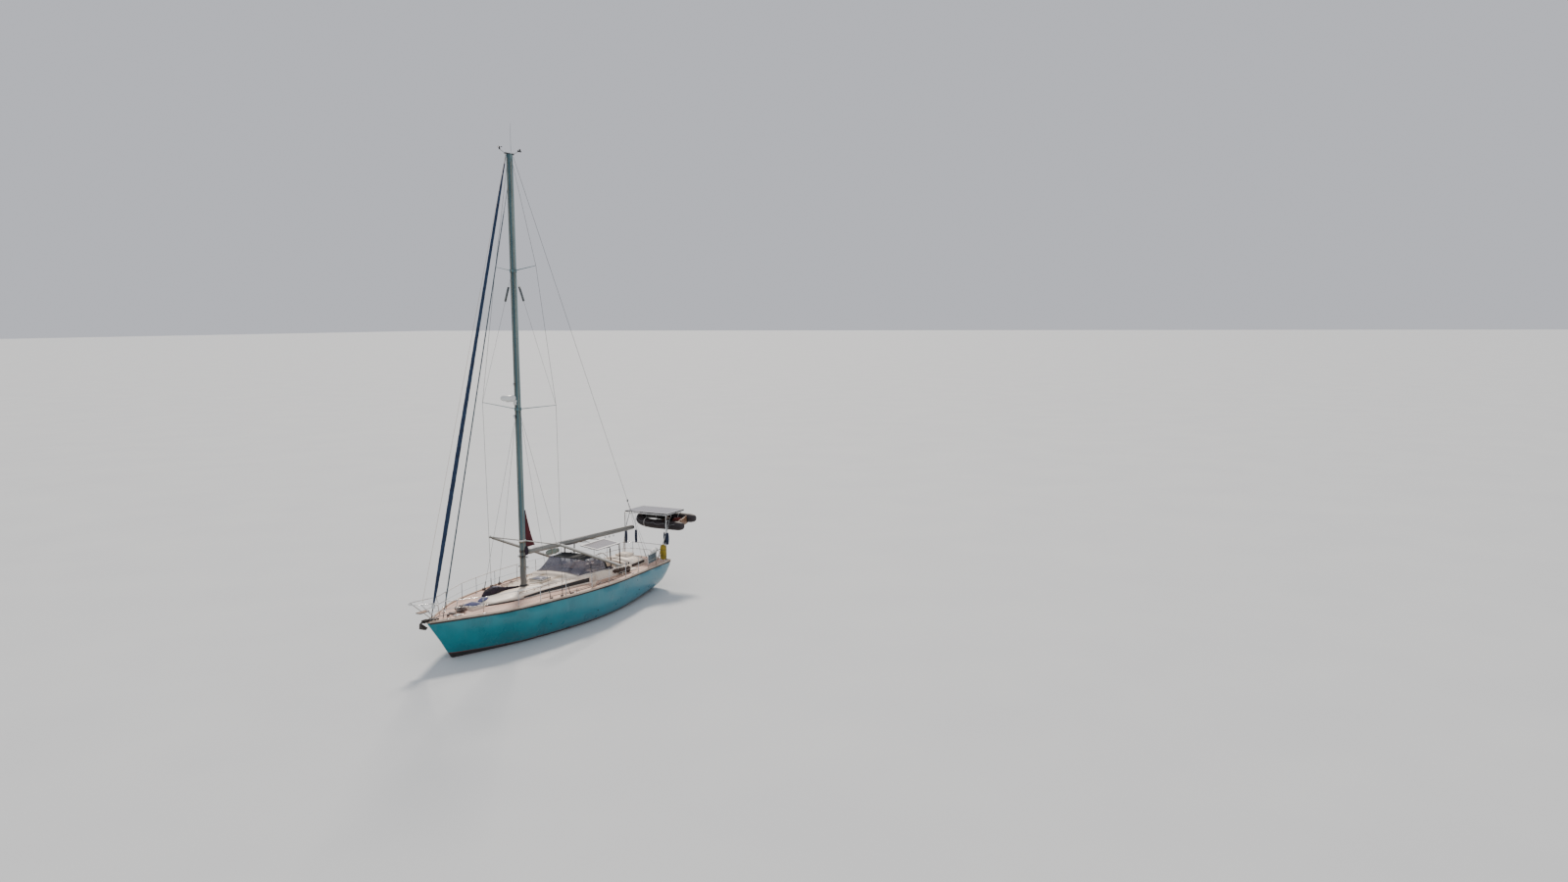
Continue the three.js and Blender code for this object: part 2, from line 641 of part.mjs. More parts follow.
add('bimini_frame', seatOn(join(
  ...HOOP_X.flatMap((x) => [1, -1].flatMap((side) => {
    const inner = [x, 0, PANEL.innerZ + Math.tan(panelTilt) * PANEL.inner - hoopDrop];
    const outer = [x, side * 1190, PANEL.outerZ - Math.tan(panelTilt) * 40 - hoopDrop];
    const foot = [x, side * 1225, coamingTop(x) - 12];
    return [bar(inner, outer, HOOP_R), bar(outer, foot, HOOP_R), knuckle(outer, HOOP_R + 4)];
  })),
  ...HOOP_X.map((x) => (
    knuckle([x, 0, PANEL.innerZ + Math.tan(panelTilt) * PANEL.inner - hoopDrop], HOOP_R + 2)
  )),
  ...[1, -1].map((side) => bar([HOOP_X[0], side * 1208, 2150], [HOOP_X[1], side * 1208, 2150], 12)),
), coaming), STAINLESS);

// Rails round the deck
const RAIL_R = 14;
const railY = (x) => Math.max(deckWidth(x) - 66, 40);
const railZ = (x) => sheer(x) + 650;
for (const [name, side] of [['port', 1], ['starboard', -1]]) {
  const posts = STANCHIONS.map((x) => [x, side * railY(x)]);
  const postBars = posts.map(([x, y]) => join(
    bar(footAt(x, y), [x, y, railZ(x) + 8], RAIL_R - 1),
    bar(footAt(x, y), [x, y, deckTop(x, y) + 26], 34),
  ));
  const wires = posts.slice(1).flatMap(([x, y], i) => [0, 330].map((drop) => (
    bar([posts[i][0], posts[i][1], railZ(posts[i][0]) - drop], [x, y, railZ(x) - drop], 5, 4)
  )));
  add(`lifelines_${name}`, seatOn(join(...postBars, ...wires), deck), STAINLESS);
}

const pulpitTop = [
  [5070, railY(5070), 2185], [5900, 520, 2240], [6700, 400, 2310], [7450, 260, 2385],
];
const pulpitSide = (side) => pulpitTop.map(([x, y, z]) => [x, side * y, z]);
add('pulpit', join(
  seatOn(join(
    tube(
      [...pulpitSide(1), [7740, 0, 2410], ...pulpitSide(-1).reverse()],
      RAIL_R,
      34,
    ),
    ...[1, -1].flatMap((side) => [
      bar(footAt(5070, side * railY(5070)), [5070, side * railY(5070), 2185], RAIL_R),
      bar(footAt(5950, side * 380), [5950, side * 512, 2244], RAIL_R),
      bar(footAt(6540, side * 110), [7450, side * 260, 2385], RAIL_R),
      bar([5070, side * railY(5070), 1880], [5950, side * 440, 1955], 10, 6),
      bar([5950, side * 440, 1955], [6960, side * 192, 1990], 10, 6),
    ]),
  ), deck),
  bar([6960, -192, 1990], [6960, 192, 1990], 14, 6),
  box([6920, 7360], [-100, 100], [1992, 2020]),
), STAINLESS);

const PUSHPIT = { z: 1900, mid: 1600 };
const pushpitPath = [
  [-4700, railY(-4700)], [-5500, railY(-5500)], [-6300, railY(-6300)], [-6690, 1010], [-6760, 700],
];
const pushpit = add('pushpit', seatOn(join(
  ...[PUSHPIT.z, PUSHPIT.mid].map((z) => tube(
    [
      ...pushpitPath.map(([x, y]) => [x, y, z]),
      ...pushpitPath.map(([x, y]) => [x, -y, z]).reverse(),
    ],
    RAIL_R,
    40,
  )),
  ...[1, -1].flatMap((side) => [
    [-4700, railY(-4700)], [-5500, railY(-5500)], [-6300, railY(-6300)], [-6745, 780],
  ].map(([x, y]) => (
    bar(footAt(x, side * y), [x, side * y, PUSHPIT.z], RAIL_R)
  ))),
), deck), STAINLESS);

const CLOTH = { fore: -4740, aft: -5620, low: 1470, high: 1870, thick: 9 };
add('weather_cloth', seatOn(
  loft([CLOTH.fore, (CLOTH.fore + CLOTH.aft) / 2, CLOTH.aft].map((x) => {
    const y = railY(x) - RAIL_R + 2;
    return [
      [x, y - CLOTH.thick, CLOTH.low],
      [x, y, CLOTH.low],
      [x, y, CLOTH.high],
      [x, y - CLOTH.thick, CLOTH.high],
    ];
  })),
  pushpit,
  [0, -1, 0],
), GREY_CLOTH);

// Stern arch with its panel, and the tender under it
const archRig = join(
  ...[1, -1].flatMap((side) => [
    bar(footAt(ARCH.x + 60, side * ARCH.y), [ARCH.x, side * ARCH.y, ARCH.z], ARCH.r),
    bar(footAt(ARCH.x + 520, side * 950), [ARCH.x, side * ARCH.y, 2500], ARCH.r - 4),
    bar([ARCH.x, side * ARCH.y, ARCH.z], [ARCH.aft, side * ARCH.y, ARCH.z], ARCH.r),
    bar([ARCH.x, side * ARCH.y, 2500], [ARCH.x - 420, side * ARCH.y, ARCH.z], ARCH.r - 6),
    knuckle([ARCH.x, side * ARCH.y, ARCH.z], ARCH.r),
    knuckle([ARCH.aft, side * ARCH.y, ARCH.z], ARCH.r),
  ]),
  ...[ARCH.x, DINGHY.near, ARCH.aft].map((x) => (
    bar([x, -ARCH.y, ARCH.z], [x, ARCH.y, ARCH.z], ARCH.r - 2)
  )),
);

// The tender's tubes run athwartships, with the bow to starboard.
const bowRise = (y) => DINGHY.z + DINGHY.rise * Math.max(0, (300 - y) / (300 - DINGHY.bow)) ** 1.6;
const tenderPath = [
  [DINGHY.near, DINGHY.stern - 60], [DINGHY.near, 900], [DINGHY.near, 100], [DINGHY.near - 40, -420],
  [DINGHY.near - 230, -690], [(DINGHY.near + DINGHY.far) / 2, DINGHY.bow + DINGHY.r],
  [DINGHY.far + 230, -690], [DINGHY.far + 40, -420], [DINGHY.far, 100], [DINGHY.far, 900],
  [DINGHY.far, DINGHY.stern - 60],
].map(([x, y]) => [x, y, bowRise(y)]);
const level = join(
  tube(tenderPath, DINGHY.r, 28, 8),
  ...[DINGHY.near, DINGHY.far].map((x) => (
    bar([x, DINGHY.stern - 62, DINGHY.z], [x, DINGHY.stern + 10, DINGHY.z], DINGHY.r, 8, 90)
  )),
  box([DINGHY.far, DINGHY.near], [-350, 1420], [DINGHY.z - 190, DINGHY.z - 160]),
  box([DINGHY.far, DINGHY.near], [1400, 1432], [DINGHY.z - 190, DINGHY.z + 170]),
);
const hung = level
  .translate(-DINGHY.near, 0, -DINGHY.z)
  .rotate(0, DINGHY.tilt, 0)
  .translate(DINGHY.near, 0, DINGHY.z);
const dinghy = add('dinghy', hung, CHARCOAL_CLOTH);
const slings = [DINGHY.near, DINGHY.far].flatMap((x) => [-250, 950].map((y) => (
  box([x - 20, x + 20], [y - 4, y + 4], [DINGHY.z + 60, ARCH.z])
)));
add('stern_arch', seatOn(seatOn(join(archRig, ...slings), dinghy), deck), STAINLESS);
add('arch_solar_panel', box(
  [-8180, -6726],
  [-1160, 1160],
  [ARCH.z + ARCH.r + SEAT, ARCH.z + ARCH.r + 42],
), SOLAR);

// Mast and rigging

const mastSection = outline(MAST.sides, MAST.along, MAST.across).map(({ x, y }) => [MAST.x + x, y]);
const goosenecks = [-78, 46].map((offset) => box(
  [GOOSENECK.x - 22, MAST.x - 60],
  [-26, 26],
  [GOOSENECK.z + offset, GOOSENECK.z + offset + 32],
));
const mast = add('mast', seatOn(join(
  prism(mastSection, [MAST.foot + 18, MAST.head]),
  box([MAST.x - 190, MAST.x + 190], [-130, 130], [MAST.foot - 24, MAST.foot + 24]),
  ...goosenecks,
  bar(
    [GOOSENECK.x, 0, GOOSENECK.z - 76],
    [GOOSENECK.x, 0, GOOSENECK.z + 76],
    11,
    12,
  ),
), coachroof), ALLOY);

const boomLength = GOOSENECK.x - 130 - BOOM.aft;
const boomAngle = Math.atan2(GOOSENECK.z - BOOM.aftZ, boomLength + 130);
const boomGeometry = new THREE.ExtrudeGeometry(
  new THREE.Shape(outline(12, BOOM.along, BOOM.across)),
  { depth: boomLength, bevelEnabled: false },
).rotateY(-Math.PI / 2);
boomGeometry.translate(-130, 0, 0).rotateY(-boomAngle).translate(GOOSENECK.x, 0, GOOSENECK.z);
add('boom', join(
  solid(boomGeometry),
  box([GOOSENECK.x - 200, GOOSENECK.x], [-20, 20], [GOOSENECK.z - 36, GOOSENECK.z + 36]),
  bar([GOOSENECK.x, 0, GOOSENECK.z - 36], [GOOSENECK.x, 0, GOOSENECK.z + 36], 24, 16),
).subtract(bar([GOOSENECK.x, 0, GOOSENECK.z - 90], [GOOSENECK.x, 0, GOOSENECK.z + 90], 11.6, 12)), ALLOY);

function collar(z, high, wall = 16) {
  const ring = (grow) => outline(MAST.sides, MAST.along + grow, MAST.across + grow)
    .map(({ x, y }) => [MAST.x + x, y]);
  return cut(prism(ring(wall), [z - high / 2, z + high / 2]), prism(ring(SEAT + 0.4), [z - high, z + high]));
}
function spreaders({ z, tipY, tipUp, tipAft }) {
  const mastHole = prism(outline(MAST.sides, MAST.along + SEAT + 0.4, MAST.across + SEAT + 0.4)
    .map(({ x, y }) => [MAST.x + x, y]), [z - 200, z + 200]);
  return cut(join(
    collar(z, 120),
    ...[1, -1].map((side) => loft([
      [40, 0, 48, 17], [tipY, 1, 26, 10],
    ].map(([y, t, chord, thick]) => outline(8, chord, thick).map((point) => [
      MAST.x + point.x - tipAft * t,
      y * side,
      z + point.y + tipUp * t,
    ])))),
  ), mastHole);
}
const lowerSpreaders = add('lower_spreaders', spreaders(LOWER_SPREADER), ALLOY);
const upperSpreaders = add('upper_spreaders', spreaders(UPPER_SPREADER), ALLOY);

add('pole_crossbar', join(
  collar(CROSSBAR.z, CROSSBAR.collar),
  ...[1, -1].flatMap((side) => [
    bar([CROSSBAR.x, side * 40, CROSSBAR.z], [CROSSBAR.x, side * (CROSSBAR.y - 40), CROSSBAR.z], 26, 8),
    bar(
      [CROSSBAR.x, side * (CROSSBAR.y - 80), CROSSBAR.z],
      [CROSSBAR.x, side * CROSSBAR.y, CROSSBAR.z],
      CROSSBAR.pinR,
      24,
    ),
  ]),
).subtract(prism(
  outline(MAST.sides, MAST.along + SEAT + 0.4, MAST.across + SEAT + 0.4)
    .map(({ x, y }) => [MAST.x + x, y]),
  [CROSSBAR.z - 200, CROSSBAR.z + 200],
)), ALLOY);

for (const [name, side] of [['port', 1], ['starboard', -1]]) {
  const y = side * (CROSSBAR.y - 52);
  const pivot = [CROSSBAR.x, y, CROSSBAR.z];
  const tip = [POLE.aftX, y, POLE.aftZ];
  const along = tip.map((part, axis) => part - pivot[axis]);
  const length = Math.hypot(...along);
  const at = (distance) => pivot.map((part, axis) => part + (along[axis] * distance) / length);
  const eye = [[-24, 24], [-40, 40]].map(([y0, y1], i) => bar(
    [CROSSBAR.x, y + y0, CROSSBAR.z],
    [CROSSBAR.x, y + y1, CROSSBAR.z],
    i ? CROSSBAR.pinR + 0.9 : CROSSBAR.pinR + 22,
    24,
  ));
  add(`pole_${name}`, cut(join(
    eye[0],
    bar(at(40), at(170), 22, 12, POLE.r),
    bar(at(165), at(length - 160), POLE.r, 12),
    bar(at(length - 165), at(length), POLE.r, 12, 24),
  ), eye[1]), ALLOY);
}

// Wire rope in straight spans, with a bottle screw at the foot.
const WIRE_R = 7;
const wireRun = (points, radius = WIRE_R) => join(
  ...points.slice(1).map((point, i) => bar(points[i], point, radius, 5)),
  ...points.slice(1, -1).map((point) => knuckle(point, radius + 8)),
);
function bottleScrew(foot, towards) {
  const along = towards.map((part, axis) => part - foot[axis]);
  const length = Math.hypot(...along);
  const top = foot.map((part, axis) => part + (along[axis] * 380) / length);
  return bar(foot, top, 17, 6);
}

for (const [name, side] of [['port', 1], ['starboard', -1]]) {
  const foot = [CHAINPLATE_X, side * (halfBeam(CHAINPLATE_X) - 84), sheer(CHAINPLATE_X) + 12];
  const lowTip = [
    MAST.x - LOWER_SPREADER.tipAft,
    side * (LOWER_SPREADER.tipY + 12),
    LOWER_SPREADER.z + LOWER_SPREADER.tipUp,
  ];
  const highTip = [
    MAST.x - UPPER_SPREADER.tipAft,
    side * (UPPER_SPREADER.tipY + 12),
    UPPER_SPREADER.z + UPPER_SPREADER.tipUp,
  ];
  const head = [MAST.x, side * (MAST.across - 5), MAST.head - 140];
  const diagonalHead = [MAST.x, side * (MAST.across - 5), UPPER_SPREADER.z - 110];
  const reflectorAt = (t) => lowTip.map((part, axis) => part + (diagonalHead[axis] - part) * t);
  let shroud = join(
    wireRun([foot, lowTip, highTip, head]),
    bottleScrew(foot, lowTip),
    wireRun([lowTip, diagonalHead], 5),
    bar(reflectorAt(0.79), reflectorAt(0.9), 42, 8),
  );
  shroud = seatOn(shroud, deck);
  shroud = seatOn(shroud, mast, [0, side, 0]);
  shroud = seatOn(shroud, lowerSpreaders, [0, side, 0]);
  shroud = seatOn(shroud, upperSpreaders, [0, side, 0]);
  add(`cap_shroud_${name}`, shroud, STAINLESS);

  const lowerHead = [MAST.x, side * (MAST.across - 3), LOWER_SPREADER.z - 120];
  const feet = [MAST.x + 420, MAST.x - 600].map((x) => [
    x,
    side * (halfBeam(x) - 120),
    deckTop(x, halfBeam(x) - 120) - 12,
  ]);
  let lowers = join(
    knuckle([lowerHead[0], side * (MAST.across + 9), lowerHead[2]], 22),
    ...feet.flatMap((point) => [wireRun([point, lowerHead], 6), bottleScrew(point, lowerHead)]),
  );
  lowers = seatOn(lowers, deck);
  lowers = seatOn(lowers, mast, [0, side, 0]);
  add(`lower_shrouds_${name}`, lowers, STAINLESS);
}

// A stay in the boat's centre plane, as points by distance from its foot.
function stayPoints({ foot, head }) {
  const length = Math.hypot(head[0] - foot[0], head[1] - foot[1]);
  const step = [(head[0] - foot[0]) / length, (head[1] - foot[1]) / length];
  return { length, at: (distance) => [foot[0] + step[0] * distance, 0, foot[1] + step[1] * distance] };
}
const forestay = stayPoints(FORESTAY);
add('masthead_gear', join(
  box([BACKSTAY.head[0] - 30, FORESTAY.head[0] + 40], [-34, 34], [MAST.head + SEAT, MAST.head + 44]),
  bar(forestay.at(forestay.length - 100), [1990, 0, MAST.head + 20], 12, 8),
  bar(forestay.at(forestay.length - 230), forestay.at(forestay.length - 90), 10, 8),
  bar([1700, 0, MAST.head + 40], [1700, 0, 19600], 7, 6, 3),
  bar([2030, 0, MAST.head + 20], [2330, 0, MAST.head + 130], 7, 6),
  bar([2330, 0, MAST.head + 120], [2330, 0, MAST.head + 210], 34, 8, 20),
  bar([1600, 0, MAST.head + 20], [1340, 60, MAST.head + 150], 7, 6),
  box([1180, 1400], [57, 63], [MAST.head + 140, MAST.head + 200]),
), BLACK_TRIM);

const RADAR = { x: 2330, z: 9250, r: 290, high: 230 };
const domeProfile = [
  [0, -0.5], [0.72, -0.5], [0.98, -0.28], [1, 0.1], [0.86, 0.36], [0.5, 0.48], [0, 0.5],
].map(([r, h]) => new THREE.Vector2(r * RADAR.r, h * RADAR.high));
add('radar_dome', seatOn(join(
  solid(new THREE.LatheGeometry(domeProfile, 16).rotateX(Math.PI / 2).translate(RADAR.x, 0, RADAR.z)),
  box([MAST.x + 60, RADAR.x + 60], [-60, 60], [RADAR.z - 160, RADAR.z - 112]),
  box([MAST.x + 60, MAST.x + MAST.along + 35], [-60, 60], [RADAR.z - 300, RADAR.z - 120]),
), mast, [1, 0, 0]), WHITE_PLASTIC);

const stemTop = sheer(LENGTH / 2) + RAIL.high;
const FURLER_PIN_R = 16.3;
// Distances up the stay between which the drum turns
const DRUM = { low: 290, high: 440 };
const ROLLER = { x: 7100, z: stemTop + 8, r: 30 };
add('stemhead', seatOn(join(
  box([6430, 7020], [-75, 75], [stemTop + SEAT, stemTop + 14]),
  box([6430, 6560], [-60, 60], [sheer(6500) + 14, stemTop + 10]),
  ...[-75, 59].map((y) => box([6900, 7140], [y, y + 16], [stemTop + SEAT, stemTop + 90])),
  bar([ROLLER.x, -62, ROLLER.z], [ROLLER.x, 62, ROLLER.z], ROLLER.r, 8),
  bar([6690, 0, stemTop + 6], forestay.at(-80), 34, 8, 24),
  bar(forestay.at(-100), forestay.at(DRUM.high - 30), FURLER_PIN_R, 20),
), deck), STAINLESS);
add('furler_drum', cut(join(
  bar(forestay.at(DRUM.low), forestay.at(DRUM.low + 15), 105, 14),
  bar(forestay.at(DRUM.low + 10), forestay.at(DRUM.high - 5), 60, 14),
  bar(forestay.at(DRUM.high - 15), forestay.at(DRUM.high), 105, 14),
), bar(forestay.at(DRUM.low - 10), forestay.at(DRUM.high - 24), FURLER_PIN_R + 0.7, 20)), WHITE_PLASTIC);
// distance up the stay, radius of the rolled sail or of the foil it is rolled on
const FURL = [
  [DRUM.high + SEAT, 30], [620, 40], [1000, 56], [1800, 66], [3500, 78], [6000, 78],
  [11000, 58], [15000, 50], [16000, 38], [16500, 26], [forestay.length - 110, 26],
];
const stayTilt = Math.atan2(FORESTAY.foot[0] - FORESTAY.head[0], FORESTAY.head[1] - FORESTAY.foot[1]);
add('furled_genoa', cut(
  loft(FURL.map(([distance, radius]) => outline(10, radius).map((point) => {
    const [x, , z] = forestay.at(distance);
    return [x + point.x * Math.cos(stayTilt), point.y, z + point.x * Math.sin(stayTilt)];
  }))),
  bar(forestay.at(forestay.length - 240), forestay.at(forestay.length), 16, 8),
), NAVY_CLOTH);

const inner = stayPoints(INNER_STAY);
add('inner_stay', seatOn(seatOn(join(
  bar(inner.at(-30), inner.at(600), 16, 8),
  bar(inner.at(590), inner.at(inner.length - 900), 27, 8, 20),
  bar(inner.at(inner.length - 910), [MAST.x + 60, 0, INNER_STAY.head[1] + 380], 10, 8),
), deck), mast, [1, 0, 0]), GREY_CLOTH);

const backstay = stayPoints(BACKSTAY);
add('backstay', seatOn(join(
  bar(backstay.at(-10), backstay.at(backstay.length - 20), WIRE_R, 6),
  bar(backstay.at(-10), backstay.at(500), 17, 8),
), deck), STAINLESS);

const luffX = MAST.x - MAST.along + 8;
const collarSpan = [-1, 1].map((side) => CROSSBAR.z + side * (CROSSBAR.collar / 2 + SEAT));
add('mainsail_clew', cut(seatOn(fin([
  [luffX, 4800], [luffX, 3285], [1090, 3300], [1180, 3420], [luffX - 90, 4760],
], 0, 26), mast, [-1, 0, 0]), box([luffX - 26, luffX + 10], [-20, 20], collarSpan)), MAROON_CLOTH);

// Foredeck

const WINDLASS = { x: 5280, z: 1690 };
add('windlass', seatOn(join(
  box([WINDLASS.x - 150, WINDLASS.x + 150], [-110, 110], [1560, WINDLASS.z + 30]),
  bar([WINDLASS.x, -210, WINDLASS.z], [WINDLASS.x, 210, WINDLASS.z], 62, 12),
  bar([WINDLASS.x, 0, WINDLASS.z], [WINDLASS.x, 0, WINDLASS.z + 120], 60, 12, 48),
), deck), GALVANISED);
const shankZ = ROLLER.z + ROLLER.r + SEAT;
add('anchor', join(
  fin([
    [6800, shankZ + 50], [6800, shankZ], [7128, shankZ],
    [7226, 1600], [7300, 1615], [7160, shankZ + 50],
  ], 0, 34),
  loft([
    [[7236, 10, 1640], [7236, -10, 1640], [7300, -10, 1640], [7300, 10, 1640]],
    [[7050, 130, 1450], [7050, -130, 1450], [7230, -110, 1410], [7230, 110, 1410]],
    [[7010, 14, 1350], [7010, -14, 1350], [7030, -14, 1340], [7030, 14, 1340]],
  ]),
), GALVANISED);
const bagRing = (x, y, width, high) => outline(12, width, high).map((point) => [
  x,
  y + point.x,
  roofRidge(x) - 40 + Math.max(point.y + high * 0.55, 0),
]);
add('foredeck_bag', seatOn(loft([
  bagRing(2050, -70, 44, 48), bagRing(2160, -170, 80, 80), bagRing(2350, -320, 130, 145),
  bagRing(2650, -410, 190, 200), bagRing(3100, -440, 205, 205), bagRing(3420, -460, 150, 140),
  bagRing(3600, -480, 60, 50),
]), coachroof), CHARCOAL_CLOTH);

// Under water, and the quarter

const rudderDepth = SKEG.heelZ + 10;
const rudderBlade = loft([
  foilRing(RUDDER.axisX + 48, RUDDER.axisX - RUDDER.topChord, 52, RUDDER.top),
  foilRing(RUDDER.axisX + 44, RUDDER.axisX - RUDDER.heelChord, 44, rudderDepth),
]);
add('rudder', cut(
  join(rudderBlade, bar([RUDDER.axisX, 0, RUDDER.top - 40], [RUDDER.axisX, 0, 180], RUDDER.stockR, 16)),
  bar([RUDDER.axisX, 0, rudderDepth - 10], [RUDDER.axisX, 0, rudderDepth + 75], 16, 12),
), BRONZE);

const shaftLine = stayPoints({
  foot: [SHAFT.end[0], SHAFT.end[2]],
  head: [SHAFT.hull[0], SHAFT.hull[2]],
});
const shaftAngle = Math.atan2(SHAFT.hull[2] - SHAFT.end[2], SHAFT.hull[0] - SHAFT.end[0]);
const hubAt = Math.hypot(PROPELLER.x - SHAFT.end[0], 20);
const blade = (turn) => {
  const geometry = new THREE.BoxGeometry(16, 130, PROPELLER.r - 30, 1, 1, 1)
    .translate(0, 0, (PROPELLER.r + 30) / 2)
    .rotateZ(0.6)
    .rotateX(turn)
    .rotateY(-shaftAngle)
    .translate(...shaftLine.at(hubAt));
  return solid(geometry);
};
add('propeller', join(
  bar(shaftLine.at(0), shaftLine.at(shaftLine.length - 40), SHAFT.r, 12),
  bar(shaftLine.at(hubAt - 60), shaftLine.at(hubAt + 70), 46, 12, 52),
  ...Array.from({ length: PROPELLER.blades }, (_, i) => blade((2 * Math.PI * i) / PROPELLER.blades)),
), BRONZE);
const strutAt = hubAt + 210;
const strutFoot = shaftLine.at(strutAt);
add('shaft_strut', seatOn(cut(
  join(
    bar(shaftLine.at(strutAt - 60), shaftLine.at(strutAt + 60), 44, 12),
    box([strutFoot[0] - 40, strutFoot[0] + 40], [-14, 14], [strutFoot[2] + 30, strutFoot[2] + 480]),
  ),
  bar(shaftLine.at(strutAt - 90), shaftLine.at(strutAt + 90), SHAFT.r + 1, 12),
), hullShell, [0, 0, -1]), BRONZE);

const BUOY = { x: -5990, low: 1430, high: 2110, r: 142 };
const buoyY = railY(BUOY.x) + RAIL_R + BUOY.r;
const buoyAt = (z) => [BUOY.x, buoyY, z];
add('rescue_buoy', seatOn(join(
  bar(buoyAt(BUOY.low + 50), buoyAt(BUOY.high - 80), BUOY.r, 12),
  bar(buoyAt(BUOY.high - 90), buoyAt(BUOY.high), BUOY.r, 12, BUOY.r / 2),
  bar(buoyAt(BUOY.low), buoyAt(BUOY.low + 60), BUOY.r - 50, 12, BUOY.r),
), pushpit, [0, 1, 0]), YELLOW_CLOTH);

export default boat;
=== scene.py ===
import json
import math

import bmesh
import bpy
from mathutils import Matrix, Vector

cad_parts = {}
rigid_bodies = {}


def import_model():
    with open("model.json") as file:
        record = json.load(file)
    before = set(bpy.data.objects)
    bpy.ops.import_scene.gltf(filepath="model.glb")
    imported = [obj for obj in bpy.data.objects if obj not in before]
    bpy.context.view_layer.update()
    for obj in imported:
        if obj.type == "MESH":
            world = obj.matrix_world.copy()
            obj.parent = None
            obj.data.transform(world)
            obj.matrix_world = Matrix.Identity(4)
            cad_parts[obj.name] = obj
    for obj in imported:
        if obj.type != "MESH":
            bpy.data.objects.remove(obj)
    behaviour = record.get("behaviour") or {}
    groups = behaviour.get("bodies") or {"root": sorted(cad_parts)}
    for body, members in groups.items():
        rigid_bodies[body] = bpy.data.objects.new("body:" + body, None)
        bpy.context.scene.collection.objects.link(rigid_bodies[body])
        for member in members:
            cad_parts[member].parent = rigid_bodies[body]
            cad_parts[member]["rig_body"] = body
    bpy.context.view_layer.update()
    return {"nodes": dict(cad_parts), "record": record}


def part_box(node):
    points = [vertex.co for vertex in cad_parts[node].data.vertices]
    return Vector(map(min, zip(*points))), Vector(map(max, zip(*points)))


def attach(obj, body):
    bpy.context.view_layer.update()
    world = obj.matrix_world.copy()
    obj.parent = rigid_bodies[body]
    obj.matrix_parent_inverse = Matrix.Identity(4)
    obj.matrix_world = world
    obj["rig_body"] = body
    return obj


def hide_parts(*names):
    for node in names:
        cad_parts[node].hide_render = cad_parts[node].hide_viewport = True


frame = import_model()
NODES = frame["nodes"]

# Camera, as solved from the photograph: eye in the boat's frame, degrees, then millimetres
EYE = Vector((35.17, 28.88, 12.244))
HEADING = 207.36
PITCH = 6.358
ROLL = 0.41
LENS = 25.48
SENSOR = 36
FAR_CLIP = 2000


def make_camera():
    heading, pitch, roll = (math.radians(angle) for angle in (HEADING, PITCH, ROLL))
    level = Vector((math.cos(heading), math.sin(heading), 0))
    ahead = level * math.cos(pitch) - Vector((0, 0, math.sin(pitch)))
    right = ahead.cross(Vector((0, 0, 1))).normalized()
    up = right.cross(ahead)
    tilted_right = right * math.cos(roll) - up * math.sin(roll)
    tilted_up = up * math.cos(roll) + right * math.sin(roll)
    camera = bpy.data.objects.new("camera", bpy.data.cameras.new("camera"))
    bpy.context.scene.collection.objects.link(camera)
    camera.data.sensor_width = SENSOR
    camera.data.lens = LENS
    camera.data.clip_end = FAR_CLIP
    camera.matrix_world = Matrix((tilted_right, tilted_up, -ahead)).transposed().to_4x4()
    camera.location = EYE
    bpy.context.scene.camera = camera


make_camera()

# Shape of the boat, repeated from the construction model
LENGTH = 13.8
SHEER = {"stern": 1.189, "middle": 1.441, "bow": 1.556}
# x, half beam at the sheer
BEAM = [
    (-6.9, 1.214), (-4.6, 1.591), (-2.2, 1.959), (0.2, 2.032),
    (2.4, 1.769), (4.4, 1.313), (5.8, 0.63), (6.9, 0.024),
]
# x, height of the hull's lowest line, fullness of the section above it
BOTTOM = [
    (-6.9, 0.62, 3.6), (-6.3, -0.05, 4.1), (-5.0, -0.28, 4.4), (-3.0, -0.55, 4.2),
    (-1.0, -0.72, 3.7), (1.0, -0.72, 3.08), (3.0, -0.58, 2.8), (4.6, -0.38, 2.2),
    (5.5, -0.12, 2.17), (5.823, 0.0, 1.9), (6.3, 0.69, 1.5), (6.9, 1.5, 1.0),
]
# x, half width at the foot, height of the ridge
ROOF = [
    (-1.12, 1.38, 1.86), (-0.5, 1.29, 1.845), (0.5, 1.15, 1.82), (1.8, 0.92, 1.784),
    (3.1, 0.73, 1.745), (3.9, 0.48, 1.71), (4.35, 0.25, 1.665),
]
# Half width of the hull's lowest line, the cap rail's inset, the deck's height over the sheer and its
# camber, the guard wires' inset from the rail, and how far the coachroof falls to its sides
KEEL_HALF = 0.016
RAIL_INSET = 0.042
DECK_RISE = 0.02
CAMBER = 0.03
WIRE_INSET = 0.066
ROOF_FALL = 0.06
STANCHIONS = (3.73, 2.72, 1.44, -0.04, -1.22, -2.52, -3.72)


def through(rows, column=1):
    """A smooth curve through a table's rows: its first column against the given one."""
    slope = []
    for i in range(len(rows)):
        before, after = rows[max(i - 1, 0)], rows[min(i + 1, len(rows) - 1)]
        slope.append((after[column] - before[column]) / (after[0] - before[0]))

    def value(x):
        i = next((i for i, row in enumerate(rows) if row[0] >= x), len(rows) - 1)
        i = max(i, 1)
        width = rows[i][0] - rows[i - 1][0]
        t = (x - rows[i - 1][0]) / width
        rest = 1 - t
        low, high = rows[i - 1][column], rows[i][column]
        return (
            low * rest * rest * (1 + 2 * t) + high * t * t * (3 - 2 * t)
            + width * t * rest * (slope[i - 1] * rest - slope[i] * t)
        )

    return value


def sheer(x):
    t = x / LENGTH + 0.5
    return (
        SHEER["stern"] * (1 - t) * (1 - 2 * t) + SHEER["middle"] * 4 * t * (1 - t)
        + SHEER["bow"] * t * (2 * t - 1)
    )


